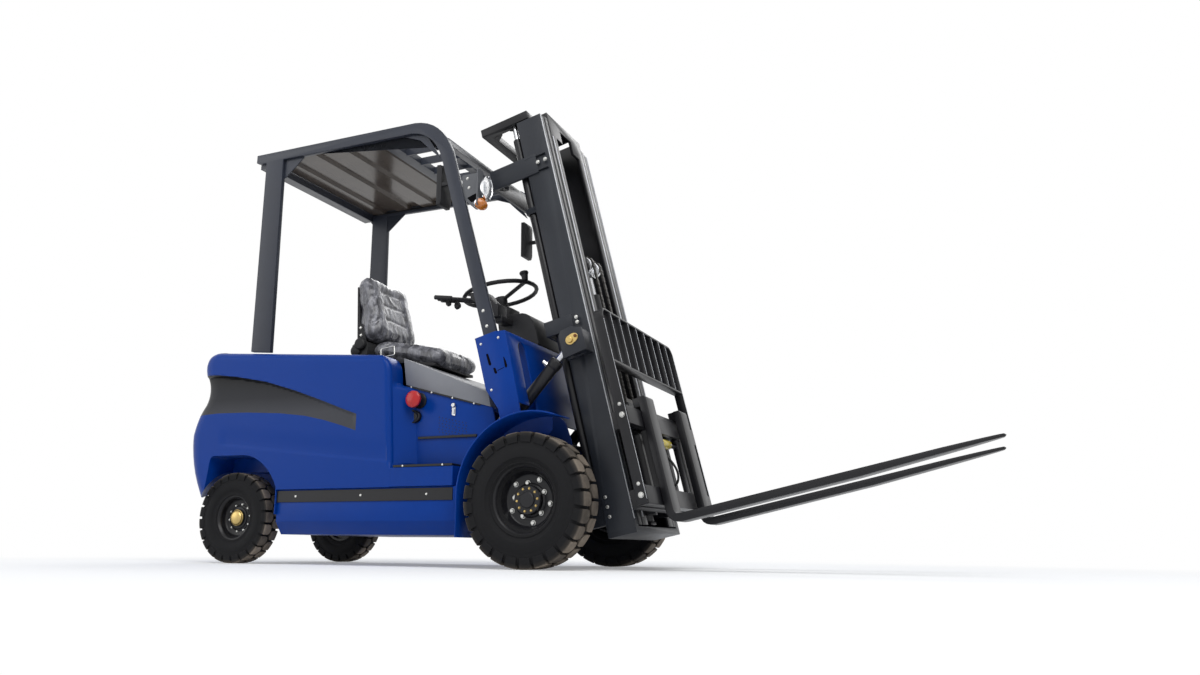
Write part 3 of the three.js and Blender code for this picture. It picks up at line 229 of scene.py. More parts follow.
def make_stage():
    area_light("key", (2.5, -4.5, 6.5), (-0.3, 0, 0.8), (6.0, 5.0), 340)
    area_light("fill", (-6.5, -5.0, 3.0), (-0.4, 0, 0.8), (6.0, 5.0), 85)
    area_light("rim", (-2.0, 6.0, 5.5), (0, 0, 1.2), (6.0, 3.0), 170)
    half = 40
    mesh = bpy.data.meshes.new("floor")
    mesh.from_pydata([(-half, -half, 0), (half, -half, 0), (half, half, 0), (-half, half, 0)], [],
                     [(0, 1, 2, 3)])
    floor = link_to_scene("floor", mesh)
    floor.location.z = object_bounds()[0].z - 0.0005
    mesh.materials.append(floor_material())


make_camera()
make_world()
make_stage()
bpy.context.scene.view_settings.view_transform = "Standard"


# ------------------------------------------------------------------ finishes
def finish_material(name, color, rough, metal=0.0, coat=0.0, grain=60.0, shade=0.12, bump=0.08,
                    distance=0.0004, gloss=0.3):
    """A finish with slight variation of colour and roughness, and a fine surface grain."""
    material, tree, bsdf = shader(name)
    cloud = noise_node(tree, 6.0, 5)
    dark = tuple(c * (1 - shade) for c in color)
    light = tuple(min(1, c * (1 + shade) + shade * 0.01) for c in color)
    feed(tree, bsdf, {"Base Color": ramp(tree, cloud, [(0.3, dark), (0.7, light)]),
                      "Roughness": scaled(tree, cloud, rough - 0.08, rough + 0.08), "Metallic": metal,
                      "Specular IOR Level": 0.5 if metal else gloss, "Coat Weight": coat,
                      "Coat Roughness": 0.2})
    add_bump(tree, bsdf, noise_node(tree, grain, 3), bump, distance)
    return material


def body_enamel(blue):
    """Blue enamel with the recess of the side panels in dark grey, paler toward its lower edge; its darkening
    toward the top edge is painted shade under the overhanging step.
    """
    material, tree, bsdf = shader("body_enamel")
    inside = level(tree, add_node(tree, "Attribute", attribute_name="swoosh").outputs["Fac"], -0.6, 0.6)
    place = add_node(tree, "SeparateXYZ", {0: add_node(tree, "TexCoord").outputs["Object"]})
    # The grey darkens from the recess's lower part toward its top edge: painted shade under the overhanging
    # step.
    painted_shade_rise = level(tree, place.outputs["Z"], 0.68, 0.88)
    grey = ramp(tree, painted_shade_rise, [(0.0, (0.060, 0.062, 0.072)), (0.45, (0.020, 0.021, 0.026)),
                             (1.0, (0.005, 0.006, 0.008))])
    mix = add_node(tree, "Mix", data_type="RGBA")
    feed(tree, mix, {"Factor": inside, "A": (*blue, 1), "B": grey})
    feed(tree, bsdf, {"Base Color": mix.outputs["Result"],
                      "Roughness": scaled(tree, noise_node(tree, 5.0), 0.30, 0.42),
                      "Specular IOR Level": 0.14, "Coat Weight": 0.05, "Coat Roughness": 0.2})
    add_bump(tree, bsdf, noise_node(tree, 140, 3), 0.05, 0.0004)
    return material


def rubber_material():
    """Black rubber with brown dust on the tread, by the mesh's dust attribute."""
    material, tree, bsdf = shader("tyre_rubber")
    dust = add_node(tree, "Attribute", attribute_name="dust").outputs["Fac"]
    patchy = math_node(tree, "MULTIPLY", dust, scaled(tree, noise_node(tree, 14, 6, 0.65), 0.35, 1.35))
    tint = ramp(tree, patchy, [(0.05, (0.011, 0.011, 0.012)), (0.45, (0.105, 0.090, 0.075)),
                               (1.0, (0.40, 0.33, 0.26))])
    feed(tree, bsdf, {"Base Color": tint, "Roughness": 0.78, "Specular IOR Level": 0.2})
    add_bump(tree, bsdf, noise_node(tree, 260), 0.35, 0.0008)
    return material


def wrap_material():
    """Dark vinyl under a thin clear wrap, with pale streaks along its folds painted in as reflections on the
    wrap.
    """
    material, tree, bsdf = shader("wrapped_vinyl")
    folds = noise_node(tree, 13.0, 6, 0.62, stretch=(1.4, 1.2, 0.45), distortion=1.1)
    fine = noise_node(tree, 46.0, 4, 0.6, stretch=(1.0, 1.5, 0.5), distortion=0.8)
    folds_and_sheen = math_node(tree, "MULTIPLY_ADD", fine, 0.45, folds)
    # The pale greys of this ramp are painted reflections on the wrap; the same pattern also bumps the folds.
    tint = ramp(tree, folds_and_sheen, [(0.50, (0.020, 0.020, 0.024)), (0.68, (0.115, 0.115, 0.13)),
                              (0.82, (0.27, 0.27, 0.30)), (0.95, (0.46, 0.46, 0.50))])
    feed(tree, bsdf, {"Base Color": tint, "Roughness": 0.42, "Coat Weight": 0.6, "Coat Roughness": 0.18})
    add_bump(tree, bsdf, folds_and_sheen, 0.8, 0.008)
    return material


def smoke_material():
    """Tinted plastic sheet, glossy and slightly cloudy."""
    material, tree, bsdf = shader("smoke_sheet")
    cloud = noise_node(tree, 4.0)
    feed(tree, bsdf, {"Base Color": ramp(tree, cloud, [(0.3, (0.080, 0.062, 0.048)),
                                                       (0.7, (0.120, 0.097, 0.078))]),
                      "Roughness": scaled(tree, cloud, 0.12, 0.24), "Specular IOR Level": 0.25,
                      "Coat Weight": 0.1, "Coat Roughness": 0.1})
    add_bump(tree, bsdf, noise_node(tree, 11.0, 2), 0.15, 0.002)
    return material


def clear_material(name, color, rough, weight=0.75):
    """A fluted lamp lens."""
    material, tree, bsdf = shader(name)
    tint = ramp(tree, noise_node(tree, 30.0, 3), [(0.3, tuple(c * 0.85 for c in color)), (0.7, color)])
    feed(tree, bsdf, {"Base Color": tint, "Roughness": rough, "Transmission Weight": weight,
                      "Coat Weight": 0.5})
    add_bump(tree, bsdf, noise_node(tree, 90.0, 1, stretch=(1, 6, 0.4)), 0.3, 0.001)
    return material


BLUE_PAINT = (0.0014, 0.046, 0.30)
BLUE = finish_material("blue_enamel", BLUE_PAINT, 0.36, coat=0.05, gloss=0.14, grain=140, shade=0.05,
                       bump=0.05)
SLATE = finish_material("slate_enamel", (0.042, 0.048, 0.066), 0.42, coat=0.15, grain=220, shade=0.08,
                        bump=0.10)
BLACK = finish_material("black_enamel", (0.009, 0.009, 0.011), 0.38, coat=0.1, grain=220, shade=0.15,
                        bump=0.12)
CAST = finish_material("cast_black", (0.016, 0.016, 0.018), 0.55, grain=420, shade=0.2, bump=0.5,
                       distance=0.0008)
PLASTIC = finish_material("black_plastic", (0.020, 0.020, 0.022), 0.55, grain=700, shade=0.1, bump=0.35)
GREY_LID = finish_material("grey_lid", (0.26, 0.265, 0.285), 0.5, grain=800, shade=0.08, bump=0.4)
STEEL = finish_material("bright_steel", (0.62, 0.63, 0.65), 0.22, metal=1.0, grain=300, shade=0.05, bump=0.05)
ZINC = finish_material("zinc_bolt", (0.60, 0.60, 0.58), 0.33, metal=1.0, grain=500, shade=0.1, bump=0.15)
GOLD = finish_material("yellow_zinc", (0.60, 0.44, 0.17), 0.35, metal=1.0, grain=500, shade=0.15, bump=0.15)
CHAIN = finish_material("oiled_chain", (0.10, 0.095, 0.09), 0.38, metal=0.9, grain=500, shade=0.3, bump=0.2)
YELLOW = finish_material("yellow_enamel", (0.72, 0.55, 0.01), 0.35, coat=0.4, grain=200, shade=0.08, bump=0.1)
RED = finish_material("red_plastic", (0.55, 0.012, 0.015), 0.3, coat=0.4, grain=300, shade=0.05, bump=0.05)
HOSE = finish_material("hose_rubber", (0.012, 0.012, 0.012), 0.45, grain=500, shade=0.1, bump=0.2)
BATTERY = finish_material("battery_block", (0.03, 0.03, 0.033), 0.6, grain=300, shade=0.1, bump=0.3)
MAST_PAINT = finish_material("mast_enamel", (0.020, 0.023, 0.030), 0.42, coat=0.1, grain=260, shade=0.1,
                             bump=0.1)
GUARD = finish_material("guard_enamel", (0.030, 0.035, 0.050), 0.40, coat=0.2, grain=260, shade=0.08,
                        bump=0.08)
CHROME = finish_material("reflector", (0.85, 0.86, 0.88), 0.10, metal=1.0, grain=60, shade=0.03, bump=0.05)
RUST = finish_material("rusty_bolt", (0.22, 0.085, 0.03), 0.7, metal=0.3, grain=500, shade=0.4, bump=0.6)
# Near-black for thin sheets laid over slot openings: painted shade.
SLOT_SHADE = finish_material("slot_shadow", (0.002, 0.002, 0.003), 0.8, grain=300, shade=0.2, bump=0.1,
                         gloss=0.05)
# A darker copy of the blue enamel for faces inside the front frame: painted shade.
SHADED_BLUE = finish_material("shaded_enamel", (0.0008, 0.012, 0.075), 0.45, grain=140, shade=0.1, bump=0.08,
                             gloss=0.15)
# Pale bare steel: worn metal on the rail flanges, painted highlight on the backrest's bar edges.
STRIP = finish_material("bare_rail_and_painted_highlight", (0.80, 0.81, 0.84), 0.45, metal=0.1, grain=200, shade=0.15, bump=0.2)
BRACKET = finish_material("grey_bracket", (0.12, 0.125, 0.135), 0.45, metal=0.3, grain=300, shade=0.08,
                          bump=0.1)
BODY_BLUE = body_enamel(BLUE_PAINT)
RUBBER = rubber_material()
WRAP = wrap_material()
SMOKE = smoke_material()
CLEAR = clear_material("clear_lens", (0.9, 0.92, 0.95), 0.08)
AMBER = clear_material("amber_lens", (0.95, 0.28, 0.02), 0.15, 0.35)


# ------------------------------------------------------------------ mesh helpers
def mesh_of(bm, name):
    mesh = bpy.data.meshes.new(name)
    bm.normal_update()
    bm.to_mesh(mesh)
    bm.free()
    return mesh


def new_object(name, shape, material, body, smooth=35):
    """A visible piece from a mesh or a bmesh, riding on a body; smooth is its sharp-edge angle."""
    mesh = mesh_of(shape, name) if isinstance(shape, bmesh.types.BMesh) else shape
    piece = link_to_scene(name, mesh)
    mesh.materials.clear()
    mesh.materials.append(material)
    mesh.shade_smooth()
    mesh.set_sharp_from_angle(angle=math.radians(smooth))
    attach(piece, body)
    return piece


def close(bm, low, high, caps=True):
    """Walls between two loops of points, and their two flat ends."""
    faces = [bm.faces.new(low), bm.faces.new(high[::-1])] if caps else []
    for i in range(len(low)):
        j = (i + 1) % len(low)
        faces.append(bm.faces.new((low[i], high[i], high[j], low[j])))
    return faces


def lathe(bm, profile, matrix, segments=64):
    """Adds a turned skin about the matrix's Z axis; profile is a list of (radius, height)."""
    turns = [2 * math.pi * i / segments for i in range(segments)]
    rings = []
    for r, h in profile:
        spots = [(r * math.cos(t), r * math.sin(t), h) for t in turns] if r > 1e-6 else [(0, 0, h)]
        rings.append([bm.verts.new(matrix @ Vector(spot)) for spot in spots])
    for low, high in zip(rings, rings[1:]):
        for i in range(segments):
            j = (i + 1) % segments
            if len(low) == 1 and len(high) == 1:
                continue
            if len(low) == 1:
                bm.faces.new((low[0], high[j], high[i]))
            elif len(high) == 1:
                bm.faces.new((low[i], low[j], high[0]))
            else:
                bm.faces.new((low[i], low[j], high[j], high[i]))


def facing(place, direction, spin=0.0):
    """A matrix at a place whose Z axis looks along a direction."""
    turn = Vector(direction).to_track_quat("Z", "Y").to_matrix().to_4x4()
    return Matrix.Translation(place) @ turn @ Matrix.Rotation(spin, 4, "Z")


def bolt(bm, place, direction, size, height=None, spin=0.0):
    """A hexagon head with a chamfer, on a washer."""
    matrix = facing(place, direction, spin)
    tall = height or size * 0.65
    lathe(bm, [(0, 0), (size * 1.05, 0), (size * 1.05, size * 0.14), (size * 0.9, size * 0.16)], matrix, 20)
    lathe(bm, [(size * 0.86, size * 0.14), (size * 0.86, tall * 0.82), (size * 0.70, tall), (0, tall)],
          matrix, 6)


def block(bm, low, high, matrix):
    """A box between two corners."""
    xs, ys, zs = ((low[i], high[i]) for i in range(3))
    verts = [bm.verts.new(matrix @ Vector((x, y, z))) for x in xs for y in ys for z in zs]
    for quad in ((0, 1, 3, 2), (4, 6, 7, 5), (0, 4, 5, 1), (2, 3, 7, 6), (0, 2, 6, 4), (1, 5, 7, 3)):
        bm.faces.new([verts[i] for i in quad])


def prism(bm, outline, y0, y1, matrix=TRUCK_FRAME):
    """An outline in X and Z, in millimetres, given thickness along Y."""
    low, high = ([bm.verts.new(matrix @ mm(x, y, z)) for x, z in outline] for y in (y0, y1))
    bmesh.ops.recalc_face_normals(bm, faces=close(bm, low, high))


def rounded(points, radius, steps=4):
    """A closed outline with its corners rounded."""
    result = []
    for i, point in enumerate(points):
        here = Vector(point)
        before, after = Vector(points[i - 1]) - here, Vector(points[(i + 1) % len(points)]) - here
        reach = min(radius, before.length * 0.45, after.length * 0.45)
        a, b = here + before.normalized() * reach, here + after.normalized() * reach
        for t in (k / steps for k in range(steps + 1)):
            result.append(tuple(a * (1 - t) ** 2 + here * 2 * t * (1 - t) + b * t * t))
    return result


def bevelled(piece, width, segments=2, angle=35, clamp=True):
    bevel = piece.modifiers.new("edges", "BEVEL")
    bevel.width = width
    bevel.segments = segments
    bevel.limit_method = "ANGLE"
    bevel.angle_limit = math.radians(angle)
    bevel.use_clamp_overlap = clamp
    return piece


# ------------------------------------------------------------------ carried-over pieces
def dress(piece, material, width=0.0015, angle=35):
    """Gives a CAD node its finish and rounds its hard edges a little."""
    piece.data.materials.clear()
    piece.data.materials.append(material)
    piece.modifiers.new("weld", "WELD").merge_threshold = 0.00002
    plain = piece.modifiers.new("plain", "DECIMATE")
    plain.decimate_type = "DISSOLVE"
    plain.angle_limit = math.radians(1)
    bevelled(piece, width, 2, angle, clamp=False)
    piece.data.shade_smooth()
    piece.data.set_sharp_from_angle(angle=math.radians(angle))


FINISHES = {
    "blue_paint": BLUE, "slate_paint": SLATE, "black_paint": BLACK, "black_plastic": PLASTIC,
    "grey_lid": GREY_LID, "tyre_rubber": RUBBER, "seat_cover": PLASTIC, "bright_steel": STEEL,
    "chain_steel": CHAIN, "roof_tint": GREY_LID, "yellow_paint": YELLOW, "lamp": STEEL,
    "hose_rubber": HOSE, "battery_grey": BATTERY,
}
OWN_FINISH = {"overhead_guard": GUARD, "middle_mast": BLACK, "inner_mast": BLACK, "outer_mast": MAST_PAINT,
              "seat_base": PLASTIC, "knuckle_R": CAST, "knuckle_L": CAST, "drive_axle": CAST,
              "steer_axle": CAST}
for entry in frame["record"]["subparts"]:
    dress(NODES[entry["node"]], OWN_FINISH.get(entry["node"], FINISHES[entry["material_slot"]]))


# ------------------------------------------------------------------ rear body shell
def between(table, x):
    """Reads a table of (x, value) pairs by straight lines."""
    if x <= table[0][0]:
        return table[0][1]
    for (x0, v0), (x1, v1) in zip(table, table[1:]):
        if x <= x1:
            return v0 + (v1 - v0) * (x - x0) / (x1 - x0)
    return table[-1][1]


def smooth(t):
    t = min(1.0, max(0.0, t))
    return t * t * (3 - 2 * t)


def curve_points(p0, p1, p2, count=8):
    return [tuple((1 - t) ** 2 * a + 2 * t * (1 - t) * b + t * t * c for a, b, c in zip(p0, p1, p2))
            for t in (i / count for i in range(count + 1))]


TAIL = [(222, -1758), (395, -1845)]
for knot in (((395, -1845), (505, -1888), (606, -1888)), ((606, -1888), (690, -1871), (755, -1825)),
             ((755, -1825), (810, -1799), (870, -1821)), ((870, -1821), (915, -1842), (950, -1842)),
             ((950, -1842), (1028, -1835), (1022, -1720))):
    TAIL += curve_points(*knot)[1:]
TAIL = sorted({round(z, 2): x for z, x in TAIL if z <= 1022}.items())
NOSE = [(0, -665), (446, -665), (845, -692)] + curve_points((845, -692), (920, -697), (933, -770))[1:]
SWOOSH_TOP = [(-1850, 905), (-1714, 898), (-1589, 881), (-1404, 845), (-1225, 792), (-1053, 732),
              (-941, 690), (-855, 660)]
SWOOSH_LOW = [(-1850, 700), (-1688, 706), (-1505, 701), (-1305, 687), (-1156, 668), (-1043, 643),
              (-933, 611), (-855, 585)]
SWOOSH_TIP = -860
BODY_Y = 504  # outermost plane of the side panels
FRONT_TOP, REAR_TOP = 932, 1021.5
DECK_LINE = [(-1720, 1022), (-770, 930)]


def swoosh_inside(x, z):
    """Millimetres inside the outline of the dark recess, negative outside it."""
    return min(between(SWOOSH_TOP, x) - z, z - between(SWOOSH_LOW, x), SWOOSH_TIP - x)


def crease_height(x):
    """The line where the side panel steps out toward its lower edge."""
    return 546 - 106 * (min(-640, max(-1690, x)) + 1625) / 971


def side_inset(x, z):
    """How far the side panel lies behind its outermost plane."""
    high, low = between(SWOOSH_TOP, x), between(SWOOSH_LOW, x)
    depth = 8 + 20 * smooth((-900 - x) / 900)
    dip = smooth((high - z) / 12) * smooth((SWOOSH_TIP - x) / 25)
    dip *= min(1, max(0, (z - low) / (0.9 * (high - low))))
    crease = crease_height(x)
    ledge = 4 * smooth((z - crease) / 5) * smooth((crease + 110 - z) / 90)
    return depth * dip + ledge * smooth((x + 1680) / 60) * smooth((-640 - x) / 30)


TOP_ROUND, CORNER_ROUND, NOSE_ROUND = 38, 90, 25
HULL_FLOOR = 200


def row_height(form, v, top, drop, step):
    """Height of one row of the shell's grid; one row follows the step line."""
    if form == "round":
        return top - drop
    if form == "low":
        return HULL_FLOOR + (step - HULL_FLOOR - 1) * v
    return step + 4 + (top - TOP_ROUND - step - 4) * v


def hull_half():
    """Columns of points down the right half of the shell, from the front centre to the rear centre."""
    rows = [("low", i / 8) for i in range(9)] + [("high", i / 58) for i in range(59)]
    rows += [("round", math.radians(90 * i / 7)) for i in range(1, 8)]
    columns = ([("front", i / 5) for i in range(5)] + [("flare", i / 6) for i in range(7)]
               + [("nose", math.radians(90 * i / 6)) for i in range(1, 6)]
               + [("side", i / 170) for i in range(171)]
               + [("tail", math.radians(90 * i / 12)) for i in range(1, 12)]
               + [("rear", i / 8) for i in range(9)])
    grid = []
    for kind, u in columns:
        line = []
        for form, v in rows:
            drop = TOP_ROUND * (1 - math.sin(v)) if form == "round" else None
            inset = TOP_ROUND * (1 - math.cos(v)) if form == "round" else 0
            place = {"front": 1, "flare": 1, "nose": 1, "side": 1 - u, "tail": 0, "rear": 0}[kind]
            top = FRONT_TOP if place else REAR_TOP
            if kind == "side":
                top = between(DECK_LINE, -1630 + 835 * place)
            elif kind == "tail":
                top = between(DECK_LINE, -1630 - 90 * math.sin(u))
            step = crease_height(-1690 + 1050 * place)
            z = row_height(form, v, top, drop, step)
            fore, aft = between(NOSE, min(z, FRONT_TOP + 0.5)), between(TAIL, z)
            if kind == "side":
                fore = between(NOSE, row_height(form, v, FRONT_TOP, drop, 440))
                aft = between(TAIL, row_height(form, v, 1014, drop, 553))
            flare = 74 * smooth((800 - z) / 30) * smooth((z - 405) / 5)
            small = NOSE_ROUND if z > 440 else max(2, NOSE_ROUND - (440 - z))
            edge = BODY_Y - inset
            if kind == "front":
                x, y = fore + flare, -398 * u
            elif kind == "flare":
                x, y = fore + flare * (1 - u), -398 - (edge - small - 398) * u
            elif kind == "nose":
                x = fore - small + small * math.cos(u)
                y = -(edge - small) - small * math.sin(u)
            elif kind == "side":
                x = fore - small + (aft + CORNER_ROUND - fore + small) * u
                y = -edge + side_inset(x, z)
            elif kind == "tail":
                bend = CORNER_ROUND - inset * math.cos(u) - side_inset(aft + 40, z) * math.cos(u)
                x = aft + CORNER_ROUND - CORNER_ROUND * math.sin(u)
                y = -(BODY_Y - CORNER_ROUND) - bend * math.cos(u)
            else:
                x, y = aft, -(BODY_Y - CORNER_ROUND) * (1 - u)
            line.append((x, y, z))
        grid.append(line)
    return grid


def body_hull():
    grid = hull_half()
    bm = bmesh.new()
    right = [[bm.verts.new(TRUCK_FRAME @ mm(*p)) for p in line] for line in grid]
    left = [[bm.verts.new(TRUCK_FRAME @ mm(x, -y, z)) for x, y, z in line] for line in grid[1:-1]]
    left = [right[0], *left, right[-1]]
    last = len(grid[0]) - 1
    for c in range(len(grid) - 1):
        for r in range(last):
            bm.faces.new((right[c][r], right[c][r + 1], right[c + 1][r + 1], right[c + 1][r]))
            bm.faces.new((left[c][r], left[c + 1][r], left[c + 1][r + 1], left[c][r + 1]))
        for r, flip in ((0, False), (last, True)):
            ring = list(dict.fromkeys((right[c][r], right[c + 1][r], left[c + 1][r], left[c][r])))
            if len(ring) > 2:
                bm.faces.new(ring[::-1] if flip else ring)
    bmesh.ops.recalc_face_normals(bm, faces=bm.faces)
    return bm


def scratch(name, bm):
    """A helper object for a boolean, removed again after it."""
    return link_to_scene(name, mesh_of(bm, name))


def baked(piece):
    """The piece's mesh with its modifiers applied; the piece itself is removed."""
    mesh = bpy.data.meshes.new_from_object(piece.evaluated_get(bpy.context.evaluated_depsgraph_get()))
    bpy.data.objects.remove(piece)
    return mesh


def boolean(piece, other, operation):
    step = piece.modifiers.new(operation.lower(), "BOOLEAN")
    step.operation = operation
    step.solver = "EXACT"
    step.object = other


def even_normals(piece):
    """Large faces decide the shading, so slivers beside a cut don't show."""
    weigh = piece.modifiers.new("even", "WEIGHTED_NORMAL")
    weigh.keep_sharp = True
    weigh.weight = 60


def make_body():
    node = NODES["body"]
    shell = link_to_scene("body_work", node.data.copy())
    shell.matrix_world = node.matrix_world.copy()
    shell.modifiers.new("weld", "WELD").merge_threshold = 0.00001
    hull = scratch("body_hull", body_hull())
    boolean(shell, hull, "INTERSECT")
    mesh = baked(shell)
    bpy.data.objects.remove(hull)
    if "custom_normal" in mesh.attributes:
        mesh.attributes.remove(mesh.attributes["custom_normal"])
    inside = mesh.attributes.new("swoosh", "FLOAT", "POINT")
    for vertex, value in zip(mesh.vertices, inside.data):
        x, z = (vertex.co.x - AXLE_X) * 1000, vertex.co.z * 1000
        value.value = swoosh_inside(x, z) if abs(vertex.co.y) > 0.40 or x < -1700 else -50
    piece = new_object("body_shell", mesh, BODY_BLUE, "chassis_body", smooth=30)
    even_normals(piece)
    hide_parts("body")
    sill = bmesh.new()
    for side in (-1, 1):
        prism(sill, rounded([(-672, 334), (-349, 334), (-349, 416.5), (-672, 416.5)], 3), side * 396,
              side * 503.8)
    base = new_object("step_sill", sill, BLUE, "chassis_body")
    bevelled(base, 0.003)
    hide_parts("body")


# ------------------------------------------------------------------ tyres and wheels
# Across a tread block, from low on the shoulder to its pointed inner end:
# shares of the radius, of half the width, and of the pitch to each side.
LUG_LINE = ((0.835, 0.93, 0.40), (0.845, 0.985, 0.40), (0.915, 0.998, 0.41), (0.975, 0.975, 0.42),
            (0.997, 0.90, 0.43),
            (1, 0.78, 0.43), (1, 0.45, 0.44), (1, 0.20, 0.40), (1, 0.06, 0.16))
LUG_GAP = 0.115


def tyre_mesh(name, wheel, side):
    """A solid tyre with big shoulder blocks; side is -1 on the right and 1 on the left."""
    radius, width, rim, lip, lugs = (wheel[key] for key in ("radius", "width", "rim", "lip", "lugs"))
    bm = bmesh.new()
    dust = bm.verts.layers.float.new("dust")
    centre = at(wheel["x"], side * (wheel["face"] - width / 2), radius)
    matrix = Matrix.Translation(centre) @ Matrix.Rotation(math.radians(90), 4, "X")
    half = width / 2
    floor = radius - radius * 0.055
    wall = [(rim + 2, half - width * 0.32), (lip - 4, half - width * 0.085), (lip + 2, half - width * 0.055),
            (lip + 7, half - width * 0.075), (radius * 0.60, half * 0.90), (radius * 0.625, half * 0.985),
            (radius * 0.76, half * 0.995), (radius * 0.775, half * 0.965), (radius * 0.80, half * 0.96),
            (radius * 0.86, half * 0.92), (floor - 3, half * 0.86), (floor, half * 0.78)]
    profile = [(r / 1000, h / 1000) for r, h in wall] + [(r / 1000, -h / 1000) for r, h in wall[::-1]]
    profile.append(profile[0])
    lathe(bm, profile, matrix, 96)
    for vert in bm.verts:
        vert[dust] = 0.0
    pitch = 2 * math.pi / lugs
    rng = random.Random(7)
    for row in (1, -1):
        for k in range(lugs):
            mid = (k + (0.5 if row < 0 else 0)) * pitch
            wear = rng.uniform(0.55, 1.0)
            outer = []
            for r, h, reach in ((radius * a, half * b, c) for a, b, c in LUG_LINE):
                cross = []
                for s in (-1, -0.5, 0, 0.5, 1):
                    angle = mid + s * (reach - LUG_GAP / 2 + 0.03) * pitch
                    vert = bm.verts.new(matrix @ mm(r * math.cos(angle), r * math.sin(angle), row * h))
                    vert[dust] = wear * (1.0 if r > radius * 0.99 else 0.25 if r > radius * 0.95 else 0.05)
                    cross.append(vert)
                outer.append(cross)
            rim_loop = [outer[i][0] for i in range(len(outer))] + outer[-1][1:] + [
                outer[i][-1] for i in range(len(outer) - 2, -1, -1)] + outer[0][-2:0:-1]
            foot = []
            for vert in rim_loop:
                local = matrix.inverted() @ vert.co
                flat = Vector((local.x, local.y, 0))
                new_r = min(flat.length, (floor - 4) / 1000)
                if flat.length < floor / 1000:
                    new_r = flat.length - 0.004
                low = bm.verts.new(matrix @ (flat.normalized() * new_r + Vector((0, 0, local.z * 0.93))))
                low[dust] = 0.0
                foot.append(low)
            for a, b in zip(outer, outer[1:]):
                for i in range(4):
                    bm.faces.new((a[i], a[i + 1], b[i + 1], b[i]))
            close(bm, rim_loop, foot, caps=False)
            bm.faces.new(foot)
    bmesh.ops.recalc_face_normals(bm, faces=bm.faces)
    return mesh_of(bm, name)


def wheel_frame(x, radius, side):
    """The wheel's axle, with Z pointing away from the truck's middle."""
    return Matrix.Translation(at(x, 0, radius)) @ Matrix.Rotation(math.radians(-90 if side > 0 else 90), 4,
                                                                  "X")


def rim_mesh(name, wheel, side, loose):
    """Rim, dished disc and hub as one turned skin; its bolts are added to the loose meshes."""
    radius, width, rim, lip, disc_y = (wheel[key] for key in ("radius", "width", "rim", "lip", "disc"))
    bm = bmesh.new()
    matrix = wheel_frame(wheel["x"], radius, side)
    out, inner = (wheel["face"] - width * share for share in (0.11, 0.89))
    barrel = min(rim - 6, lip - 18)
    profile = [(wheel["bore"], disc_y - 9), (rim - 17, disc_y - 9), (rim - 13, inner), (rim - 2, inner),
               (rim - 2, inner + 8), (rim - 5, inner + 12), (rim - 5, disc_y), (lip - 9, out - 10),
               (lip - 2, out - 8), (lip - 1.2, out - 2),
               (lip - 4, out), (lip - 8, out - 1), (lip - 11, out - 5), (lip - 15, out - 9),
               (lip - 17, out - 16),
               (barrel, disc_y + 20), (barrel - 2, disc_y + 13), (barrel - 6, disc_y + 9),
               (barrel - 12, disc_y + 7),
               (rim * 0.62, disc_y + 6.5), (rim * 0.60, disc_y + 9)]
    profile += wheel["hub"]
    lathe(bm, [(r / 1000, h / 1000) for r, h in profile], matrix, 80)
    bmesh.ops.recalc_face_normals(bm, faces=bm.faces)
    axis = matrix.to_3x3() @ Vector((0, 0, 1))
    for r, count, turn, height, size, finish in wheel["bolts"]:
        for k in range(count):
            angle = turn + 2 * math.pi * k / count
            place = matrix @ mm(r * math.cos(angle), r * math.sin(angle), height)
            bolt(loose[finish], place, axis, size / 1000, size * 0.9 / 1000, spin=k * 1.7)
    return mesh_of(bm, name)


HUB_CAP = [(38, 431), (38, 436), (36, 438)]
for turn in (math.radians(t) for t in range(0, 90, 10)):
    HUB_CAP.append((35 * math.cos(turn), 438 + 16 * math.sin(turn)))
HUB_CAP.append((0, 454))
# Bolt circles list radius, count, first angle, height, bolt size and finish.
WHEELS = {
    "drive": {"x": 0, "face": 555, "radius": 270, "width": 157, "rim": 114, "lip": 144, "lugs": 25,
              "disc": 466, "bore": 46,
              "hub": [(60, 478), (59, 500), (56, 503), (33, 503), (32, 508), (29, 510), (0, 510)],
              "bolts": [(91, 5, 1.10, 473, 10.5, "nuts"), (70, 5, 0.47, 473, 10.5, "nuts"),
                        (46, 10, 0.1, 503, 4.8, "gold")]},
    "steer": {"x": -1576, "face": 470, "radius": 210, "width": 105, "rim": 101, "lip": 106, "lugs": 23,
              "disc": 408, "bore": 26,
              "hub": [(52, 420), (50, 424), (41, 426), (40.5, 432), (0, 432)],
              "bolts": [(63, 10, 0.15, 414, 5.6, "nuts")]},
}


def make_wheels():
    for letter, side in SIDES:
        for kind, wheel in WHEELS.items():
            body = f"{kind}_wheel_{letter}"
            tyre = new_object(f"{kind}_tread_{letter}", tyre_mesh(f"{kind}_tread_{letter}", wheel, side),
                              RUBBER, body, smooth=40)
            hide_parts(f"{kind}_tyre_{letter}")
            bevelled(tyre, 0.0022 if kind == "drive" else 0.002, 2, 40)
            loose = {"nuts": bmesh.new(), "gold": bmesh.new()}
            rim = new_object(f"{kind}_hub_{letter}", rim_mesh(f"{kind}_hub_{letter}", wheel, side, loose),
                             BLACK, body, smooth=30)
            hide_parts(f"{kind}_rim_{letter}")
            new_object(f"{kind}_nuts_{letter}", loose["nuts"], ZINC, body, smooth=30)
            if kind == "drive":
                new_object(f"hub_bolts_{letter}", loose["gold"], GOLD, body, smooth=30)
            else:
                cap = [(r / 1000, h / 1000) for r, h in HUB_CAP]
                lathe(loose["gold"], cap, wheel_frame(wheel["x"], wheel["radius"], side), 48)
                new_object(f"hub_cap_{letter}", loose["gold"], GOLD, body, smooth=50)


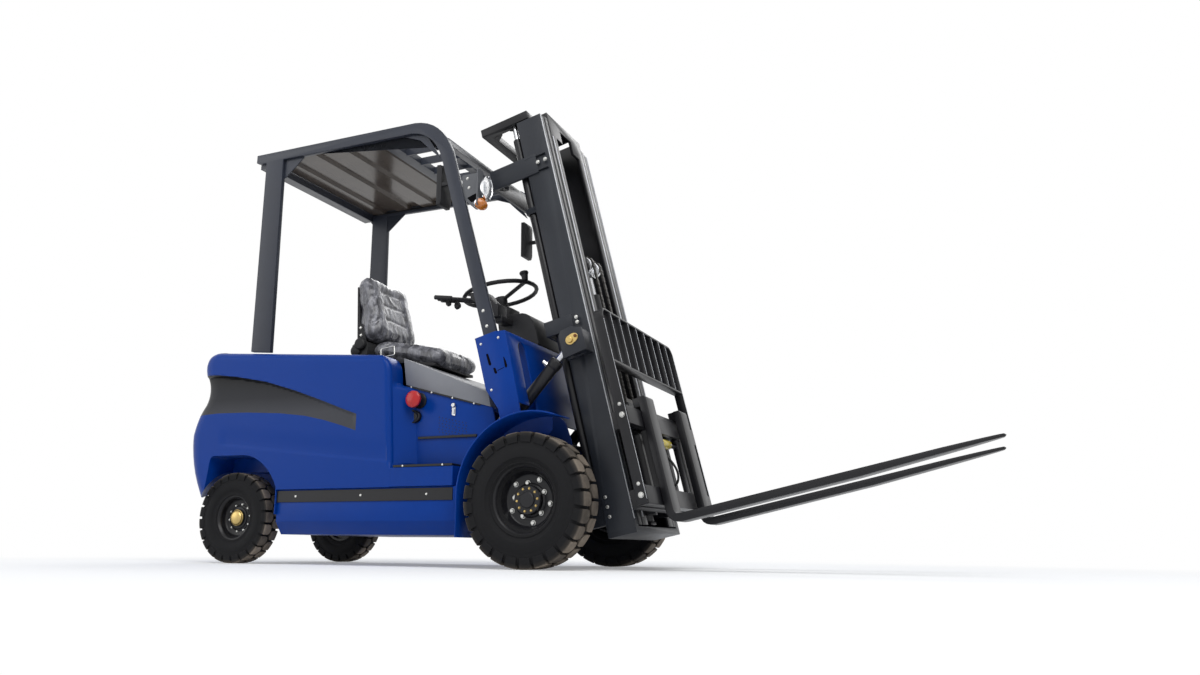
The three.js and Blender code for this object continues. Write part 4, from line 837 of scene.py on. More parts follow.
# ------------------------------------------------------------------ seat
def pad_mesh(name, spine, half_width, thick, corner, rows=64, around=60):
    """A crowned closed pad; spine lists (x, z) from end to end, thick the half thickness along it."""
    total = [0.0]
    for a, b in zip(spine, spine[1:]):
        total.append(total[-1] + math.dist(a, b))

    def along(t):
        s = t * total[-1]
        for i in range(len(spine) - 1):
            if s <= total[i + 1] or i == len(spine) - 2:
                d = Vector(spine[i + 1]) - Vector(spine[i])
                return Vector(spine[i]) + d * ((s - total[i]) / (total[i + 1] - total[i])), d.normalized()

    bm = bmesh.new()
    rings = []
    for r in range(rows + 1):
        t = 0.5 - 0.5 * math.cos(math.pi * r / rows)
        place, run = along(t)
        away = min(t, 1 - t) * total[-1]
        end = max(0, 1 - (1 - min(1, away / corner)) ** 2)
        w = half_width - corner + (corner * math.sqrt(end) if away > 0.2 else 0)
        h = max((thick[0] + (thick[1] - thick[0]) * t) * end ** 0.32, 0.8)
        out = Vector((-run.y, 0, run.x))
        ring = []
        for k in range(around):
            c, s = math.cos(2 * math.pi * k / around), math.sin(2 * math.pi * k / around)
            u = math.copysign(abs(c) ** 0.42, c)
            v = math.copysign(abs(s) ** 0.62, s)
            point = Vector((place.x, u * w, place.y)) + out * (v * h)
            ring.append(bm.verts.new(TRUCK_FRAME @ (point / 1000)))
        rings.append(ring)
    for a, b in zip(rings, rings[1:]):
        for k in range(around):
            bm.faces.new((a[k], a[(k + 1) % around], b[(k + 1) % around], b[k]))
    bm.faces.new(rings[0][::-1])
    bm.faces.new(rings[-1])
    bmesh.ops.recalc_face_normals(bm, faces=bm.faces)
    return mesh_of(bm, name)


def inflated(mesh, cap):
    """Lets the pad swell as cloth under pressure; no point moves further than cap metres."""
    work = link_to_scene("swell_work", mesh)
    remesh = work.modifiers.new("voxels", "REMESH")
    remesh.mode = "VOXEL"
    remesh.voxel_size = 0.007
    mesh = baked(work)
    rest = [v.co.copy() for v in mesh.vertices]
    work = link_to_scene("swell_work", mesh)
    cloth = work.modifiers.new("swell", "CLOTH")
    cloth.settings.quality = 4
    cloth.settings.mass = 0.3
    cloth.settings.use_pressure = True
    cloth.settings.uniform_pressure_force = 4
    cloth.settings.effector_weights.gravity = 0
    cloth.settings.shrink_min = -0.04
    cloth.point_cache.frame_start = 1
    cloth.point_cache.frame_end = 20
    for number in range(cloth.point_cache.frame_start, cloth.point_cache.frame_end + 1):
        bpy.context.scene.frame_set(number)
    mesh = baked(work)
    bpy.context.scene.frame_set(1)
    for vertex, start in zip(mesh.vertices, rest):
        move = vertex.co - start
        if move.length > cap:
            vertex.co = start + move.normalized() * cap
    return mesh


def crease(point, scale, stretch):
    """A ridged value between 0 and 1 that runs in folds."""
    p = Vector((point.x * stretch[0], point.y * stretch[1], point.z * stretch[2])) * scale
    p += noise.noise_vector(p * 0.35) * 0.9
    return (1 - min(1, abs(noise.noise(p)) * 2.6)) ** 2


def crumple(mesh, front, channels, recess, depth=0.0035):
    """Seams, a sunken middle panel and the folds of the wrap."""
    normals = [v.normal.copy() for v in mesh.vertices]
    for vertex, normal in zip(mesh.vertices, normals):
        p = vertex.co
        facing_out = max(0.0, normal.dot(front))
        along, across = channels["along"](p), abs(p.y)
        middle = smooth((recess["half"] - across) / 0.022)
        span = smooth((along - recess["start"]) / 0.03) * smooth((recess["end"] - along) / 0.03)
        push = -recess["depth"] * middle * span * facing_out
        for line in channels["lines"]:
            wander = 0.004 * noise.noise(Vector((p.y * 9, line * 40, 0)))
            push -= 0.006 * math.exp(-((along - line + wander) / 0.006) ** 2) * middle * facing_out
        patch = smooth(noise.noise(p * 9 + Vector((3, 1, 7))) * 1.6 + 0.45)
        push += depth * patch * (crease(p, 13, (1.6, 1.4, 0.5)) - 0.4)
        push += 0.35 * depth * (crease(p, 37, (1, 1.6, 0.4)) - 0.4)
        vertex.co = p + normal * push


def make_seat():
    swell = 0.012
    back = pad_mesh("seat_back_pad", [(-1036, 1084), (-1058, 1180), (-1083, 1300), (-1106, 1428)], 190,
                    (62, 32), 58)
    back = inflated(back, swell)
    crumple(back, Vector((0.965, 0, 0.262)), {"along": lambda p: p.z, "lines": (1.205, 1.285, 1.358)},
            {"half": 0.112, "start": 1.10, "end": 1.385, "depth": 0.008})
    pad = new_object("back_pad", back, WRAP, "seat_unit", smooth=60)
    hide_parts("seat_back")
    spine = [(-1036, 1030), (-960, 1030), (-800, 1004), (-690, 978), (-612, 962)]
    cushion = inflated(pad_mesh("seat_cushion_pad", spine, 190, (34, 36), 55), swell)
    crumple(cushion, Vector((0.13, 0, 0.99)), {"along": lambda p: -(p.x - AXLE_X), "lines": (0.72, 0.86)},
            {"half": 0.115, "start": 0.66, "end": 0.99, "depth": 0.007})
    pad = new_object("cushion_pad", cushion, WRAP, "seat_unit", smooth=60)
    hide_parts("seat_cushion")
    for name in ("back_pad", "cushion_pad"):
        finer = bpy.data.objects[name].modifiers.new("round", "SUBSURF")
        finer.levels = finer.render_levels = 1
    # Back support, recliner covers, adjuster knob, hinge plates and the belt's buckle.
    hard, bright = bmesh.new(), bmesh.new()
    prism(hard, rounded([(-1128, 1065), (-1104, 1060), (-1116, 1180), (-1137, 1372), (-1145, 1372)], 8), -165,
          165)
    for side in (-1, 1):
        lathe(hard, [(0, 0), (0.031, 0), (0.033, 0.004), (0.031, 0.016), (0.024, 0.022), (0, 0.024)],
              facing(at(-1085, side * 190, 1062), (0, side, 0)), 28)
        prism(hard, rounded([(-1112, 1040), (-1060, 1020), (-1052, 1060), (-1086, 1170), (-1112, 1170)], 10),
              side * 182, side * 189)
        for x, z in ((-1094, 1148), (-1090, 1110)):
            bolt(bright, at(x, side * 189, z), (0, side, 0), 0.007)
    lathe(hard, [(0, 0), (0.026, 0), (0.030, 0.006), (0.028, 0.030), (0.018, 0.036), (0, 0.038)],
          facing(at(-1112, -172, 1030), (0, -1, 0)), 24)
    bevelled(new_object("seat_hardware", hard, PLASTIC, "seat_unit"), 0.0015)
    new_object("seat_bolts", bright, ZINC, "seat_unit", smooth=30)
    ring = bmesh.new()
    matrix = facing(at(-772, -404, 955), (0.2, -1, 0.35), 0.2)
    outline = rounded([(-33, -24), (33, -24), (33, 24), (-33, 24)], 8)
    ring_bar(ring, [matrix @ mm(x, y, 6) for x, y in outline], 0.0024)
    new_object("belt_frame", ring, ZINC, "seat_unit", smooth=50)


def ring_bar(bm, points, radius, sides=10):
    """A round bar through points, closed on itself."""
    rings = []
    up = Vector((0.1, 0.2, 1)).normalized()
    for i, point in enumerate(points):
        run = (points[(i + 1) % len(points)] - points[i - 1]).normalized()
        u = run.cross(up).normalized()
        up = u.cross(run)
        turns = [2 * math.pi * k / sides for k in range(sides)]
        rings.append([bm.verts.new(point + (u * math.cos(t) + up * math.sin(t)) * radius) for t in turns])
    faces = []
    for a, b in zip(rings, rings[1:] + rings[:1]):
        for k in range(sides):
            faces.append(bm.faces.new((a[k], a[(k + 1) % sides], b[(k + 1) % sides], b[k])))
    bmesh.ops.recalc_face_normals(bm, faces=faces)


# ------------------------------------------------------------------ case and body details
def make_case_details():
    dark, zinc, red, rail, hole_shade = (bmesh.new() for _ in range(5))
    for side in (-1, 1):
        # Rubbing strip above the skirt, tread plates on the step and on the floor's edge.
        prism(dark, rounded([(-1292, 275), (-352, 275), (-352, 327), (-1292, 327)], 3), side * 491,
              side * 496)
        prism(dark, rounded([(-650, 417), (-352, 417), (-352, 427), (-650, 427)], 3), side * 401, side * 505)
        for x in (-600, -400):
            bolt(zinc, at(x, side * 505, 422), (0, side, 0), 0.0045)
        prism(dark, rounded([(-590, 546), (-292, 546), (-292, 557), (-590, 557)], 3), side * 400.5,
              side * 408)
        for x in (-1180, -820, -480):
            bolt(zinc, at(x, side * 496, 301), (0, side, 0), 0.005)
        # Lid gasket, held by screws.
        prism(dark, [(-664, 787), (-279, 680), (-279, 692), (-664, 800)], side * 400.5, side * 405)
        for t in (0.08, 0.36, 0.64, 0.92):
            bolt(zinc, at(-668 + 389 * t, side * 405, 792 - 110 * t), (0, side, 0), 0.004)
        # Louvre holes in slanting rows, drawn as thin black discs: painted shade in the holes.
        for i in range(9):
            for j in range(6):
                place = at(-486 + 17 * i + 4 * (j % 2), side * 400.2, 640 - 13 * j - 4 * i)
                lathe(hole_shade, [(0.0026, 0.0), (0.0026, 0.0006), (0, 0.0006)], facing(place, (0, side, 0)), 10)
    # Stop button and the socket below it.
    matrix = facing(at(-590, -400.4, 719), (0, -1, 0))
    lathe(dark, [(0, 0), (0.036, 0), (0.036, 0.006), (0.030, 0.012), (0.026, 0.034), (0, 0.034)], matrix, 32)
    lathe(red, [(0.014, 0.030), (0.014, 0.042), (0.034, 0.046), (0.038, 0.052), (0.037, 0.062),
                (0.028, 0.068),
                (0, 0.070)], matrix, 40)
    matrix = facing(at(-626, -400.4, 648), (0, -1, 0)) @ Matrix.Diagonal((1.5, 1, 1, 1))
    lathe(dark, [(0, 0.008), (0.020, 0.008), (0.026, 0.016), (0.030, 0.014), (0.032, 0)], matrix, 32)
    # Toggle latches.
    for side in (-1, 1):
        prism(rail, rounded([(-420, 700), (-402, 695), (-402, 640), (-420, 645)], 5), side * 401, side * 406)
        lathe(rail, [(0, 0), (0.011, 0), (0.011, 0.006), (0.008, 0.010), (0, 0.010)],
              facing(at(-411, side * 405, 688), (0, side, 0)), 24)
        prism(rail, rounded([(-416, 676), (-406, 673), (-406, 650), (-416, 653)], 3), side * 406, side * 412)
    bevelled(new_object("case_trim", dark, BLACK, "chassis_body"), 0.001)
    new_object("case_screws", zinc, ZINC, "chassis_body", smooth=30)
    new_object("stop_button", red, RED, "chassis_body", smooth=50)
    bevelled(new_object("case_latches", rail, STEEL, "chassis_body"), 0.001)
    new_object("louvre_holes", hole_shade, BLACK, "chassis_body", smooth=30)


# ------------------------------------------------------------------ overhead guard, lamps and mirrors
def make_guard():
    # Corrugated sheet: flat land, slope, raised rib, slope.
    low, high, pitch, thick, y_edge = 2022, 2037, 176, 2.2, 461
    rear, front = -1524, -870
    line = []
    for start in range(rear, front, pitch):
        line += [(start + dx, z) for dx, z in ((0, low), (88, low), (100, high),
                                               (164, high)) if start + dx < front]
    line.append((front, low))
    bm = bmesh.new()
    top, base = ([[bm.verts.new(at(x, y, z + up)) for x, z in line] for y in (-y_edge, y_edge)]
                 for up in (thick, 0))
    for i in range(len(line) - 1):
        bm.faces.new((top[0][i], top[0][i + 1], top[1][i + 1], top[1][i]))
        bm.faces.new((base[0][i], base[1][i], base[1][i + 1], base[0][i + 1]))
        for s in (0, 1):
            bm.faces.new((top[s][i], base[s][i], base[s][i + 1], top[s][i + 1]))
    for i in (0, -1):
        bm.faces.new((top[0][i], top[1][i], base[1][i], base[0][i]))
    bmesh.ops.recalc_face_normals(bm, faces=bm.faces)
    sheet = new_object("roof_panel", bm, SMOKE, "chassis_body", smooth=20)
    bevelled(sheet, 0.004, 3, 10)
    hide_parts("roof_sheet")
    trim, zinc, seal = bmesh.new(), bmesh.new(), bmesh.new()
    for side in (-1, 1):
        # Gussets inside the rear pillars' tops and at the front bend.
        prism(trim, [(-1419, 2004), (-1419, 1905), (-1412, 1905), (-1300, 1998), (-1300, 2004)], side * 464,
              side * 470)
        prism(trim, [(-1528, 2004), (-1524, 1960), (-1560, 2004)], side * 464, side * 470)
        prism(trim, rounded([(-640, 1994), (-560, 1975), (-492, 1866), (-486, 1850), (-540, 1900),
                             (-600, 1960),
                             (-690, 1994)], 4), side * 464, side * 470)
        for z in (1010, 1080):
            bolt(zinc, at(-236 + (985 - z) * 0.2775 + 34, side * 486, z), (0, side, 0), 0.007)
        prism(seal, [(-1528, 2018), (-868, 2018), (-868, 2026), (-1528, 2026)], side * 456, side * 462.5)
    # A cross member behind the open front part, and the slats that run forward from it.
    prism(trim, rounded([(-869, 2004), (-807, 2004), (-807, 2040), (-869, 2040)], 2), -462, 462)
    for i in range(7):
        y = -402 + 134 * i
        prism(trim, [(-808, 1996), (-610, 1996), (-610, 2036), (-808, 2036)], y - 5, y + 5)
    bevelled(new_object("guard_gussets", trim, GUARD, "chassis_body"), 0.0015)
    new_object("guard_bolts", zinc, ZINC, "chassis_body", smooth=30)
    new_object("roof_seal", seal, HOSE, "chassis_body")


def make_lamps():
    for letter, side in SIDES:
        plate, shell, lens, amber, zinc, amber_slot_shade = (bmesh.new() for _ in range(6))
        y = side * 480
        # Folded bracket against the pillar with a wing carrying the lamp.
        prism(plate, rounded([(-360, 1736), (-262, 1736), (-250, 1722), (-250, 1562), (-282, 1558),
                              (-352, 1622)], 8),
              side * 470, side * 476)
        prism(plate, rounded([(-256, 1562), (-250, 1562), (-250, 1738), (-256, 1738)], 1), side * 470,
              side * 524)
        body = facing(at(-254, y, 1650), (1, side * 0.05, -0.03)) @ Matrix.Diagonal((0.86, 1.12, 1, 1))
        lathe(shell, [(0, -0.004), (0.020, -0.004), (0.034, 0.004), (0.048, 0.020), (0.050, 0.034),
                      (0.047, 0.036),
                      (0.044, 0.030), (0.030, 0.014), (0.012, 0.008), (0, 0.008)], body, 48)
        lathe(lens, [(0, 0.046), (0.020, 0.044), (0.036, 0.039), (0.045, 0.033), (0.045, 0.030), (0, 0.030)],
              body, 48)
        lamp = facing(at(-262, y + side * 6, 1586), (0.75, 0, -0.66)) @ Matrix.Diagonal((1.25, 1, 1, 1))
        lathe(shell, [(0, 0), (0.027, 0), (0.028, 0.008), (0, 0.008)], lamp, 32)
        lathe(amber, [(0.027, 0.006), (0.027, 0.014), (0.024, 0.028), (0.018, 0.038), (0.010, 0.041),
                      (0, 0.042)],
              lamp, 32)
        # A thin near-black sheet on the bracket beside the amber lamp: painted shade in a slot.
        prism(amber_slot_shade, rounded([(-330, 1622), (-276, 1640), (-276, 1606), (-306, 1596)], 6), side * 476,
              side * 476.6)
        for z in (1716, 1670):
            bolt(zinc, at(-330 + (1716 - z) * 0.2, side * 476, z), (0, side, 0), 0.007)
        bracket = new_object(f"lamp_bracket_{letter}", plate, BRACKET, "chassis_body")
        bevelled(bracket, 0.001)
        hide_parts(f"headlight_{letter}")
        new_object(f"lamp_shell_{letter}", shell, CHROME, "chassis_body", smooth=40)
        new_object(f"lamp_lens_{letter}", lens, CLEAR, "chassis_body", smooth=50)
        new_object(f"lamp_amber_{letter}", amber, AMBER, "chassis_body", smooth=50)
        new_object(f"lamp_slot_shade_{letter}", amber_slot_shade, SLOT_SHADE, "chassis_body", smooth=30)
        new_object(f"lamp_bolts_{letter}", zinc, ZINC, "chassis_body", smooth=30)
        glass = bmesh.new()
        sideways = Matrix.Rotation(math.radians(-90), 4, "Z")
        prism(glass, rounded([(-40, 1622), (40, 1622), (40, 1796), (-40, 1796)], 14), 0, 1.2,
              TRUCK_FRAME @ Matrix.Translation(mm(-491, side * 440, 0)) @ sideways)
        new_object(f"mirror_glass_{letter}", glass, CHROME, "chassis_body", smooth=30)


# ------------------------------------------------------------------ mast
def bar_along(bm, a, y, b0, b1, wide_a, wide_y):
    """A bar along the rails, from height b0 to b1, on the plane a."""
    block(bm, mm(a, y - wide_y / 2, b0), mm(a + wide_a, y + wide_y / 2, b1), MAST_FRAME)


def leaf_chain(bm, points, centre, plate, pitch=19.0, wide=20, layers=5):
    """Interleaved link plates and pin ends along a line of (a, b) points, centred on y = centre."""
    length = [0.0]
    for p, q in zip(points, points[1:]):
        length.append(length[-1] + math.dist(p, q))

    def spot(s):
        s = min(max(s, 0), length[-1])
        for i in range(len(points) - 1):
            if s <= length[i + 1] + 1e-9:
                u = (s - length[i]) / max(1e-9, length[i + 1] - length[i])
                return Vector(points[i]).lerp(Vector(points[i + 1]), u)

    for k in range(int(length[-1] / pitch)):
        p, q = spot(k * pitch), spot((k + 1) * pitch)
        run = (q - p).normalized() * plate * 0.5
        normal = Vector((-run.y, run.x))
        shape = []
        for c, sign in ((p, -1), (q, 1)):
            for angle in (t * math.pi / 4.6 for t in range(-2, 3)):
                shape.append(c + (run * math.cos(angle) + normal * math.sin(angle)) * sign)
        for j in range(k % 2, layers, 2):
            y, half = centre - wide / 2 + wide * (j + 0.5) / layers, wide / layers * 0.46
            low, high = ([bm.verts.new(mast(v.x, side, v.y)) for v in shape] for side in (y - half, y + half))
            close(bm, low, high)
        for sign in (-1, 1):
            end = mast(p.x, centre + sign * wide / 2, p.y)
            lathe(bm, [(0.0026, -0.001), (0.0026, 0.0008), (0.0016, 0.0014), (0, 0.0014)],
                  facing(end, (0, sign, 0)), 8)
    bmesh.ops.recalc_face_normals(bm, faces=bm.faces)


def make_mast_trim():
    # Bright worn lines along the front flanges.
    for body, a, y, low, high, wide in (("mast_outer", 350, 283, 120, 2030, 9),
                                        ("mast_middle", 351, 222, 140, 2036, 14),
                                        ("mast_inner", 354, 184, 130, 1955, 11)):
        strip = bmesh.new()
        for s in (-1, 1):
            bar_along(strip, a, s * y, low, high, 0.8, wide)
        new_object("rail_wear_" + body, strip, STRIP, body)
    keeper, gold, zinc = bmesh.new(), bmesh.new(), bmesh.new()
    for s in (-1, 1):
        # Tilt pin with its teardrop keeper plate.
        shape = []
        for k in range(25):
            ang = math.radians(-90 + 15 * k)
            stretch = 1 + 0.9 * max(0, math.cos(ang - math.radians(20))) ** 3
            shape.append((285 + 21 * math.cos(ang) * stretch, 890 + 21 * math.sin(ang) * stretch))
        prism(keeper, shape[:-1], s * 382.2, s * 387, MAST_FRAME)
        lathe(keeper, [(0, 0), (0.013, 0), (0.013, 0.006), (0.011, 0.008), (0, 0.008)],
              facing(mast(285, s * 387, 890), (0, s, 0)), 32)
        bolt(gold, mast(313, s * 387, 901), (0, s, 0), 0.0075)
        # Clamp bolts up the outer rail.
        for a, out, b, size in ((292, 303, 1789, 0.009), (330, 303, 1789, 0.009), (306, 303, 985, 0.008),
                                (306, 303, 1008, 0.008), (250, 290.2, 150, 0.0075), (250, 290.2, 190, 0.0075),
                                (250, 290.2, 230, 0.0075)):
            bolt(zinc, mast(a, s * out, b), (0, s, 0), size)
    bevelled(new_object("tilt_pin_keepers", keeper, GOLD, "mast_outer"), 0.0015)
    new_object("keeper_bolts", gold, RUST, "mast_outer", smooth=30)
    new_object("mast_bolts", zinc, ZINC, "mast_outer", smooth=30)
    # Lift chains: up the back of the mast, and over the free lift pulleys.
    chain = bmesh.new()
    for s in (-1, 1):
        leaf_chain(chain, [(199.7, 345), (199.7, 2034)], s * 215, 11)
    prism(chain, rounded([(193.9, 2016), (205.5, 2016), (205.5, 2039), (193.9, 2039)], 2), -226, 226,
          MAST_FRAME)
    chains = new_object("rear_chains", chain, CHAIN, "mast_middle", smooth=30)
    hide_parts("main_chains")
    chain = bmesh.new()
    over = [math.radians(t) for t in range(0, 181, 6)]
    arc = [(310 + 46.6 * math.cos(t), 1322 + 46.6 * math.sin(t)) for t in over]
    for s in (-1, 1):
        leaf_chain(chain, [(356.6, 645)] + arc + [(263.4, 165)], s * 46, 9)
    prism(chain, rounded([(353, 640), (361, 640), (361, 661), (353, 661)], 2), -56, 56, MAST_FRAME)
    chains = new_object("front_chains", chain, CHAIN, "free_piston", smooth=30)
    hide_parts("free_chains")
    # Bolts on the shifting frame and the backrest, and pale strips on the front edges of its bars: painted
    # highlight with some wear.
    zinc, rim = bmesh.new(), bmesh.new()
    for s in (-1, 1):
        for b, size in ((178, 0.011), (222, 0.007), (499, 0.011), (543, 0.007)):
            bolt(zinc, mast(462, s * 471, b), (0, s, 0), size)
        bar_along(rim, 480, s * 467, 160, 905, 0.6, 3.5)
    for i in range(1, 9):
        bar_along(rim, 480, -471 + 942 * i / 9, 732, 950, 0.6, 3.5)
    new_object("backrest_edge_highlights", rim, STRIP, "shifter")
    new_object("backrest_bolts", zinc, ZINC, "shifter", smooth=30)
    ports = bmesh.new()
    for s in (-1, 1):
        end = facing(mast(459, 0, 429), (0, s, 0))
        lathe(ports, [(0.0215, -0.066), (0.0215, -0.052), (0.0205, -0.051)], end, 6)
        lathe(ports, [(0.020, 0.0655), (0.018, 0.070), (0.0095, 0.071)], end, 24)
    new_object("cylinder_glands", ports, ZINC, "carriage_body", smooth=30)
    # The hose that feeds the shift cylinder.
    route = [(458, -50, 408), (461, -51, 385), (482, -54, 355), (502, -58, 314), (508, -60, 279),
             (499, -59, 248),
             (476, -57, 231), (452, -55, 226), (427, -54, 226)]
    data = bpy.data.curves.new("shift_line", "CURVE")
    data.dimensions = "3D"
    data.bevel_depth = 0.005
    data.bevel_resolution = 6
    data.use_fill_caps = True
    fine = catmull([mast(*p) for p in route], 4)
    spline = data.splines.new("POLY")
    spline.points.add(len(fine) - 1)
    for point, place in zip(spline.points, fine):
        point.co = (*place, 1)
    hose = link_to_scene("shift_line", data)
    data.materials.append(HOSE)
    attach(hose, "carriage_body")
    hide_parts("shift_hose")


def catmull(points, steps):
    """A smooth line through the points."""
    result = []
    padded = [points[0] * 2 - points[1]] + list(points) + [points[-1] * 2 - points[-2]]
    for i in range(1, len(padded) - 2):
        p0, p1, p2, p3 = padded[i - 1:i + 3]
        for k in range(steps):
            t = k / steps
            result.append(0.5 * (2 * p1 + (p2 - p0) * t + (2 * p0 - 5 * p1 + 4 * p2 - p3) * t * t
                                 + (3 * p1 - p0 - 3 * p2 + p3) * t ** 3))
    result.append(points[-1])
    return result


# ------------------------------------------------------------------ cowl, cylinders, controls and rear
def make_cowl_details():
    dark, zinc = bmesh.new(), bmesh.new()
    for side in (-1, 1):
        # Thin near-black sheets on the cowl's sides where its slots open: painted shade.
        y0, y1 = side * 494, side * 494.7
        prism(dark, rounded([(-206, 884), (-196, 886), (-178, 838), (-184, 832), (-191, 836)], 3), y0, y1)
        prism(dark, rounded([(-170, 822), (-159, 822), (-149, 800), (-154, 795), (-162, 798)], 4), y0, y1)
        prism(dark, [(-148, 807), (-117, 820), (-115, 823), (-148, 811)], y0, y1)
        prism(dark, rounded([(-122, 866), (-119, 866), (-109, 848), (-102, 826), (-107, 817), (-113, 822)],
                            3), y0, y1)
        for x, z in ((-232, 930), (-148, 952), (-176, 728)):
            bolt(zinc, at(x, side * 494, z), (0, side, 0), 0.0055)
    new_object("cowl_slot_shade", dark, SLOT_SHADE, "chassis_body", smooth=30)
    new_object("cowl_screws", zinc, ZINC, "chassis_body", smooth=30)
    for letter, side in SIDES:
        # Glands and hose ports on each tilt cylinder.
        base = at(-230, side * 352, 530)
        run = mast(285, side * 352, 890) - base
        reach = run.length
        run.normalize()
        gland, port = bmesh.new(), bmesh.new()
        lathe(gland, [(0.0155, 0.004), (0.0265, 0.004), (0.0275, 0.0), (0.0295, -0.004), (0.0295, -0.030),
                      (0.0275, -0.034)], facing(base + run * (reach - 0.110), run), 32)
        lathe(gland, [(0.0275, 0.0), (0.0300, 0.004), (0.0300, 0.030), (0.0275, 0.034)],
              facing(base + run * 0.060, run), 32)
        up = Vector((0, -1, 0)).cross(run).normalized()
        for s in (0.085, reach - 0.150):
            lathe(port, [(0, 0.026), (0.011, 0.026), (0.011, 0.036), (0.0075, 0.038), (0.0075, 0.052),
                         (0, 0.052)],
                  facing(base + run * s, up), 6)
        body = f"tilt_barrel_body_{letter}"
        new_object(f"tilt_glands_{letter}", gland, BLACK, body, smooth=30)
        new_object(f"tilt_ports_{letter}", port, ZINC, body, smooth=30)


def make_controls():
    soft, dark, bright = bmesh.new(), bmesh.new(), bmesh.new()
    # Finger grips under the long levers, boots on the shorter ones.
    for x, z, y in ((-528, 1196, -200), (-506, 1192, -228), (-545, 1201, -252)):
        matrix = facing(at(x, y, z), (-0.4, 0, 0.9))
        lathe(soft, [(0, -0.014), (0.010, -0.010), (0.014, 0.0), (0.012, 0.012), (0.007, 0.020), (0, 0.022)],
              matrix, 24)
    for x, z, y in ((-375, 1188, -178), (-380, 1190, -206), (-384, 1192, -234), (-388, 1194, -262)):
        folds = [(r - 0.0012 * i, 0.004 * i - h) for i in range(7) for r,
                 h in ((0.018, 0.008), (0.0145, 0.006))]
        lathe(soft, [(0, -0.010), *folds, (0, 0.020)], facing(at(x, y, z), (-0.55, 0, 0.83)), 24)
    new_object("lever_grips", soft, PLASTIC, "chassis_body", smooth=45)
    # Gauge and key switch on the top of the dash.
    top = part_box("dash")[1].z * 1000
    matrix = facing(at(-262, 120, top - 0.2), (-0.25, 0, 1))
    lathe(dark, [(0.030, 0.0), (0.034, 0.002), (0.034, 0.008), (0.030, 0.010), (0.028, 0.005), (0, 0.005)],
          matrix, 40)
    lathe(bright, [(0, 0), (0.011, 0), (0.011, 0.007), (0.008, 0.009), (0, 0.009)],
          facing(at(-256, 200, top - 3), (-0.25, 0, 1)), 24)
    new_object("dash_gauge", dark, PLASTIC, "chassis_body", smooth=40)
    new_object("key_switch", bright, ZINC, "chassis_body", smooth=40)


def make_rear():
    """Tow pin in its bracket, and the rear lamps."""
    dark, pin, red = (bmesh.new() for _ in range(3))
    z = 470
    aft = between(TAIL, z)
    for out, low, high, radius, half in ((1, -55, 55, 3, 62), (5, -36, -22, 2, 40), (5, 22, 36, 2, 40)):
        x0, x1, z0, z1 = aft - out, aft + 10, z + low, z + high
        prism(dark, rounded([(x0, z0), (x1, z0), (x1, z1), (x0, z1)], radius), -half, half)
    lathe(pin, [(0, -0.052), (0.007, -0.050), (0.007, 0.044), (0.016, 0.046), (0.016, 0.052), (0, 0.054)],
          facing(at(aft - 1, 0, z), (0, 0, 1)), 24)
    for side in (-1, 1):
        place = at(between(TAIL, 935) - 0.5, side * 330, 935)
        matrix = facing(place, (-1, 0, 0)) @ Matrix.Diagonal((0.55, 1.5, 1, 1))
        lathe(dark, [(0, 0), (0.036, 0), (0.036, 0.003), (0.031, 0.005)], matrix, 32)
        lathe(red, [(0.031, 0.002), (0.030, 0.006), (0.020, 0.008), (0, 0.0085)], matrix, 32)
    bevelled(new_object("tow_bracket", dark, BLACK, "chassis_body", smooth=30), 0.001)
    new_object("tow_pin", pin, ZINC, "chassis_body", smooth=40)
    new_object("rear_lamps", red, RED, "chassis_body", smooth=40)


# ------------------------------------------------------------------ mast heads and the front frame plates
def plan(bm, points, b0, b1):
    """An outline in (a, y) of the mast's axes, given height along the mast."""
    low, high = ([bm.verts.new(mast(a, y, b)) for a, y in points] for b in (b0, b1))
    bmesh.ops.recalc_face_normals(bm, faces=close(bm, low, high))


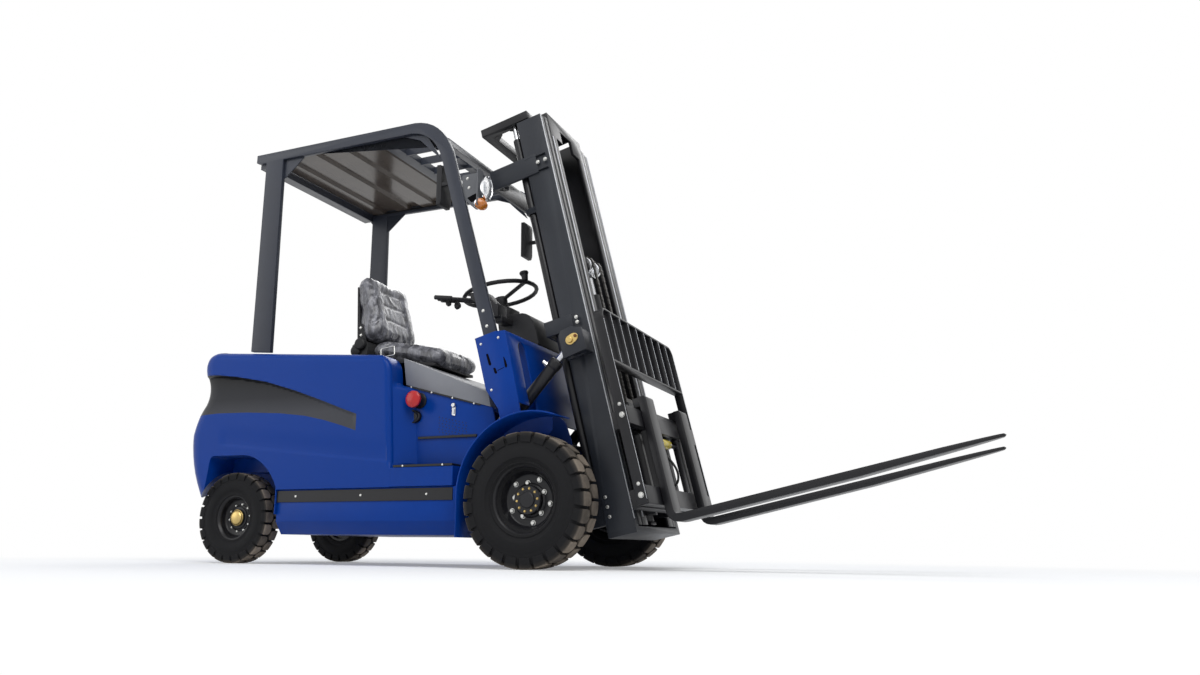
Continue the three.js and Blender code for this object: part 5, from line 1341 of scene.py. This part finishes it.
def make_heads():
    head, tie = bmesh.new(), bmesh.new()
    for s in (-1, 1):
        # Corner plates under the middle stage's head and around the outer stage's tie.
        plan(head, rounded([(37, s * 240), (128, s * 240), (78, s * 190), (37, s * 120)], 14), 2041, 2047)
        plan(head, rounded([(160, s * 240), (222, s * 240), (222, s * 206), (192, s * 206)], 6), 2041, 2047)
        plan(tie, rounded([(57, s * 287), (150, s * 287), (96, s * 222), (57, s * 150)], 14), 1786, 1794)
        plan(tie, [(150, s * 289), (224, s * 289), (224, s * 262), (168, s * 284)], 1786, 1794)
        for b in (1752, 1826):
            plan(tie, rounded([(228, s * 291), (332, s * 291), (338, s * 301), (228, s * 303)], 3), b - 3,
                 b + 3)
    bevelled(new_object("head_gussets", head, BLACK, "mast_middle", smooth=30), 0.001)
    bevelled(new_object("tie_gussets", tie, MAST_PAINT, "mast_outer", smooth=30), 0.001)
    anchor = bmesh.new()
    block(anchor, mm(230, -139, 1736), mm(234, 139, 2004), MAST_FRAME)
    block(anchor, mm(243.3, -139, 2074), mm(339.7, 139, 2078), MAST_FRAME)
    for s in (-1, 1):
        for b in (1750, 1990):
            bolt(anchor, mast(234, s * 118, b), MAST_X, 0.008)
    bmesh.ops.recalc_face_normals(anchor, faces=anchor.faces)
    new_object("chain_guard", anchor, BLACK, "mast_inner", smooth=30)
    frame_side = bmesh.new()
    for side in (-1, 1):
        prism(frame_side, rounded([(-45, 380), (60, 382), (118, 430), (112, 520), (84, 600), (40, 640),
                                   (-45, 640)], 10),
              side * 303, side * 309)
    # The cheeks take the darker copy of the blue enamel: painted shade.
    bevelled(new_object("frame_cheeks", frame_side, SHADED_BLUE, "chassis_body"), 0.0015)


def make_knob():
    """A turned grip on the steering wheel's spinner."""
    node = NODES["steering_wheel"]
    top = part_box("steering_wheel")[1].z
    spots = [v.co for v in node.data.vertices if v.co.z > top - 0.010]
    middle = sum(spots, Vector()) / len(spots)
    bm = bmesh.new()
    axis = Vector((-0.22, 0, 1)).normalized()
    lathe(bm, [(0, -0.022), (0.011, -0.022), (0.013, -0.014), (0.019, -0.010), (0.0225, -0.002),
               (0.021, 0.004),
               (0.012, 0.0075), (0, 0.008)], facing(Vector((middle.x, middle.y, top - 0.010)), axis), 36)
    new_object("spinner_knob", bm, PLASTIC, "steering_wheel_body", smooth=50)


make_body()
make_wheels()
make_seat()
make_case_details()
make_guard()
make_lamps()
make_mast_trim()
make_cowl_details()
make_controls()
make_rear()
make_heads()
make_knob()
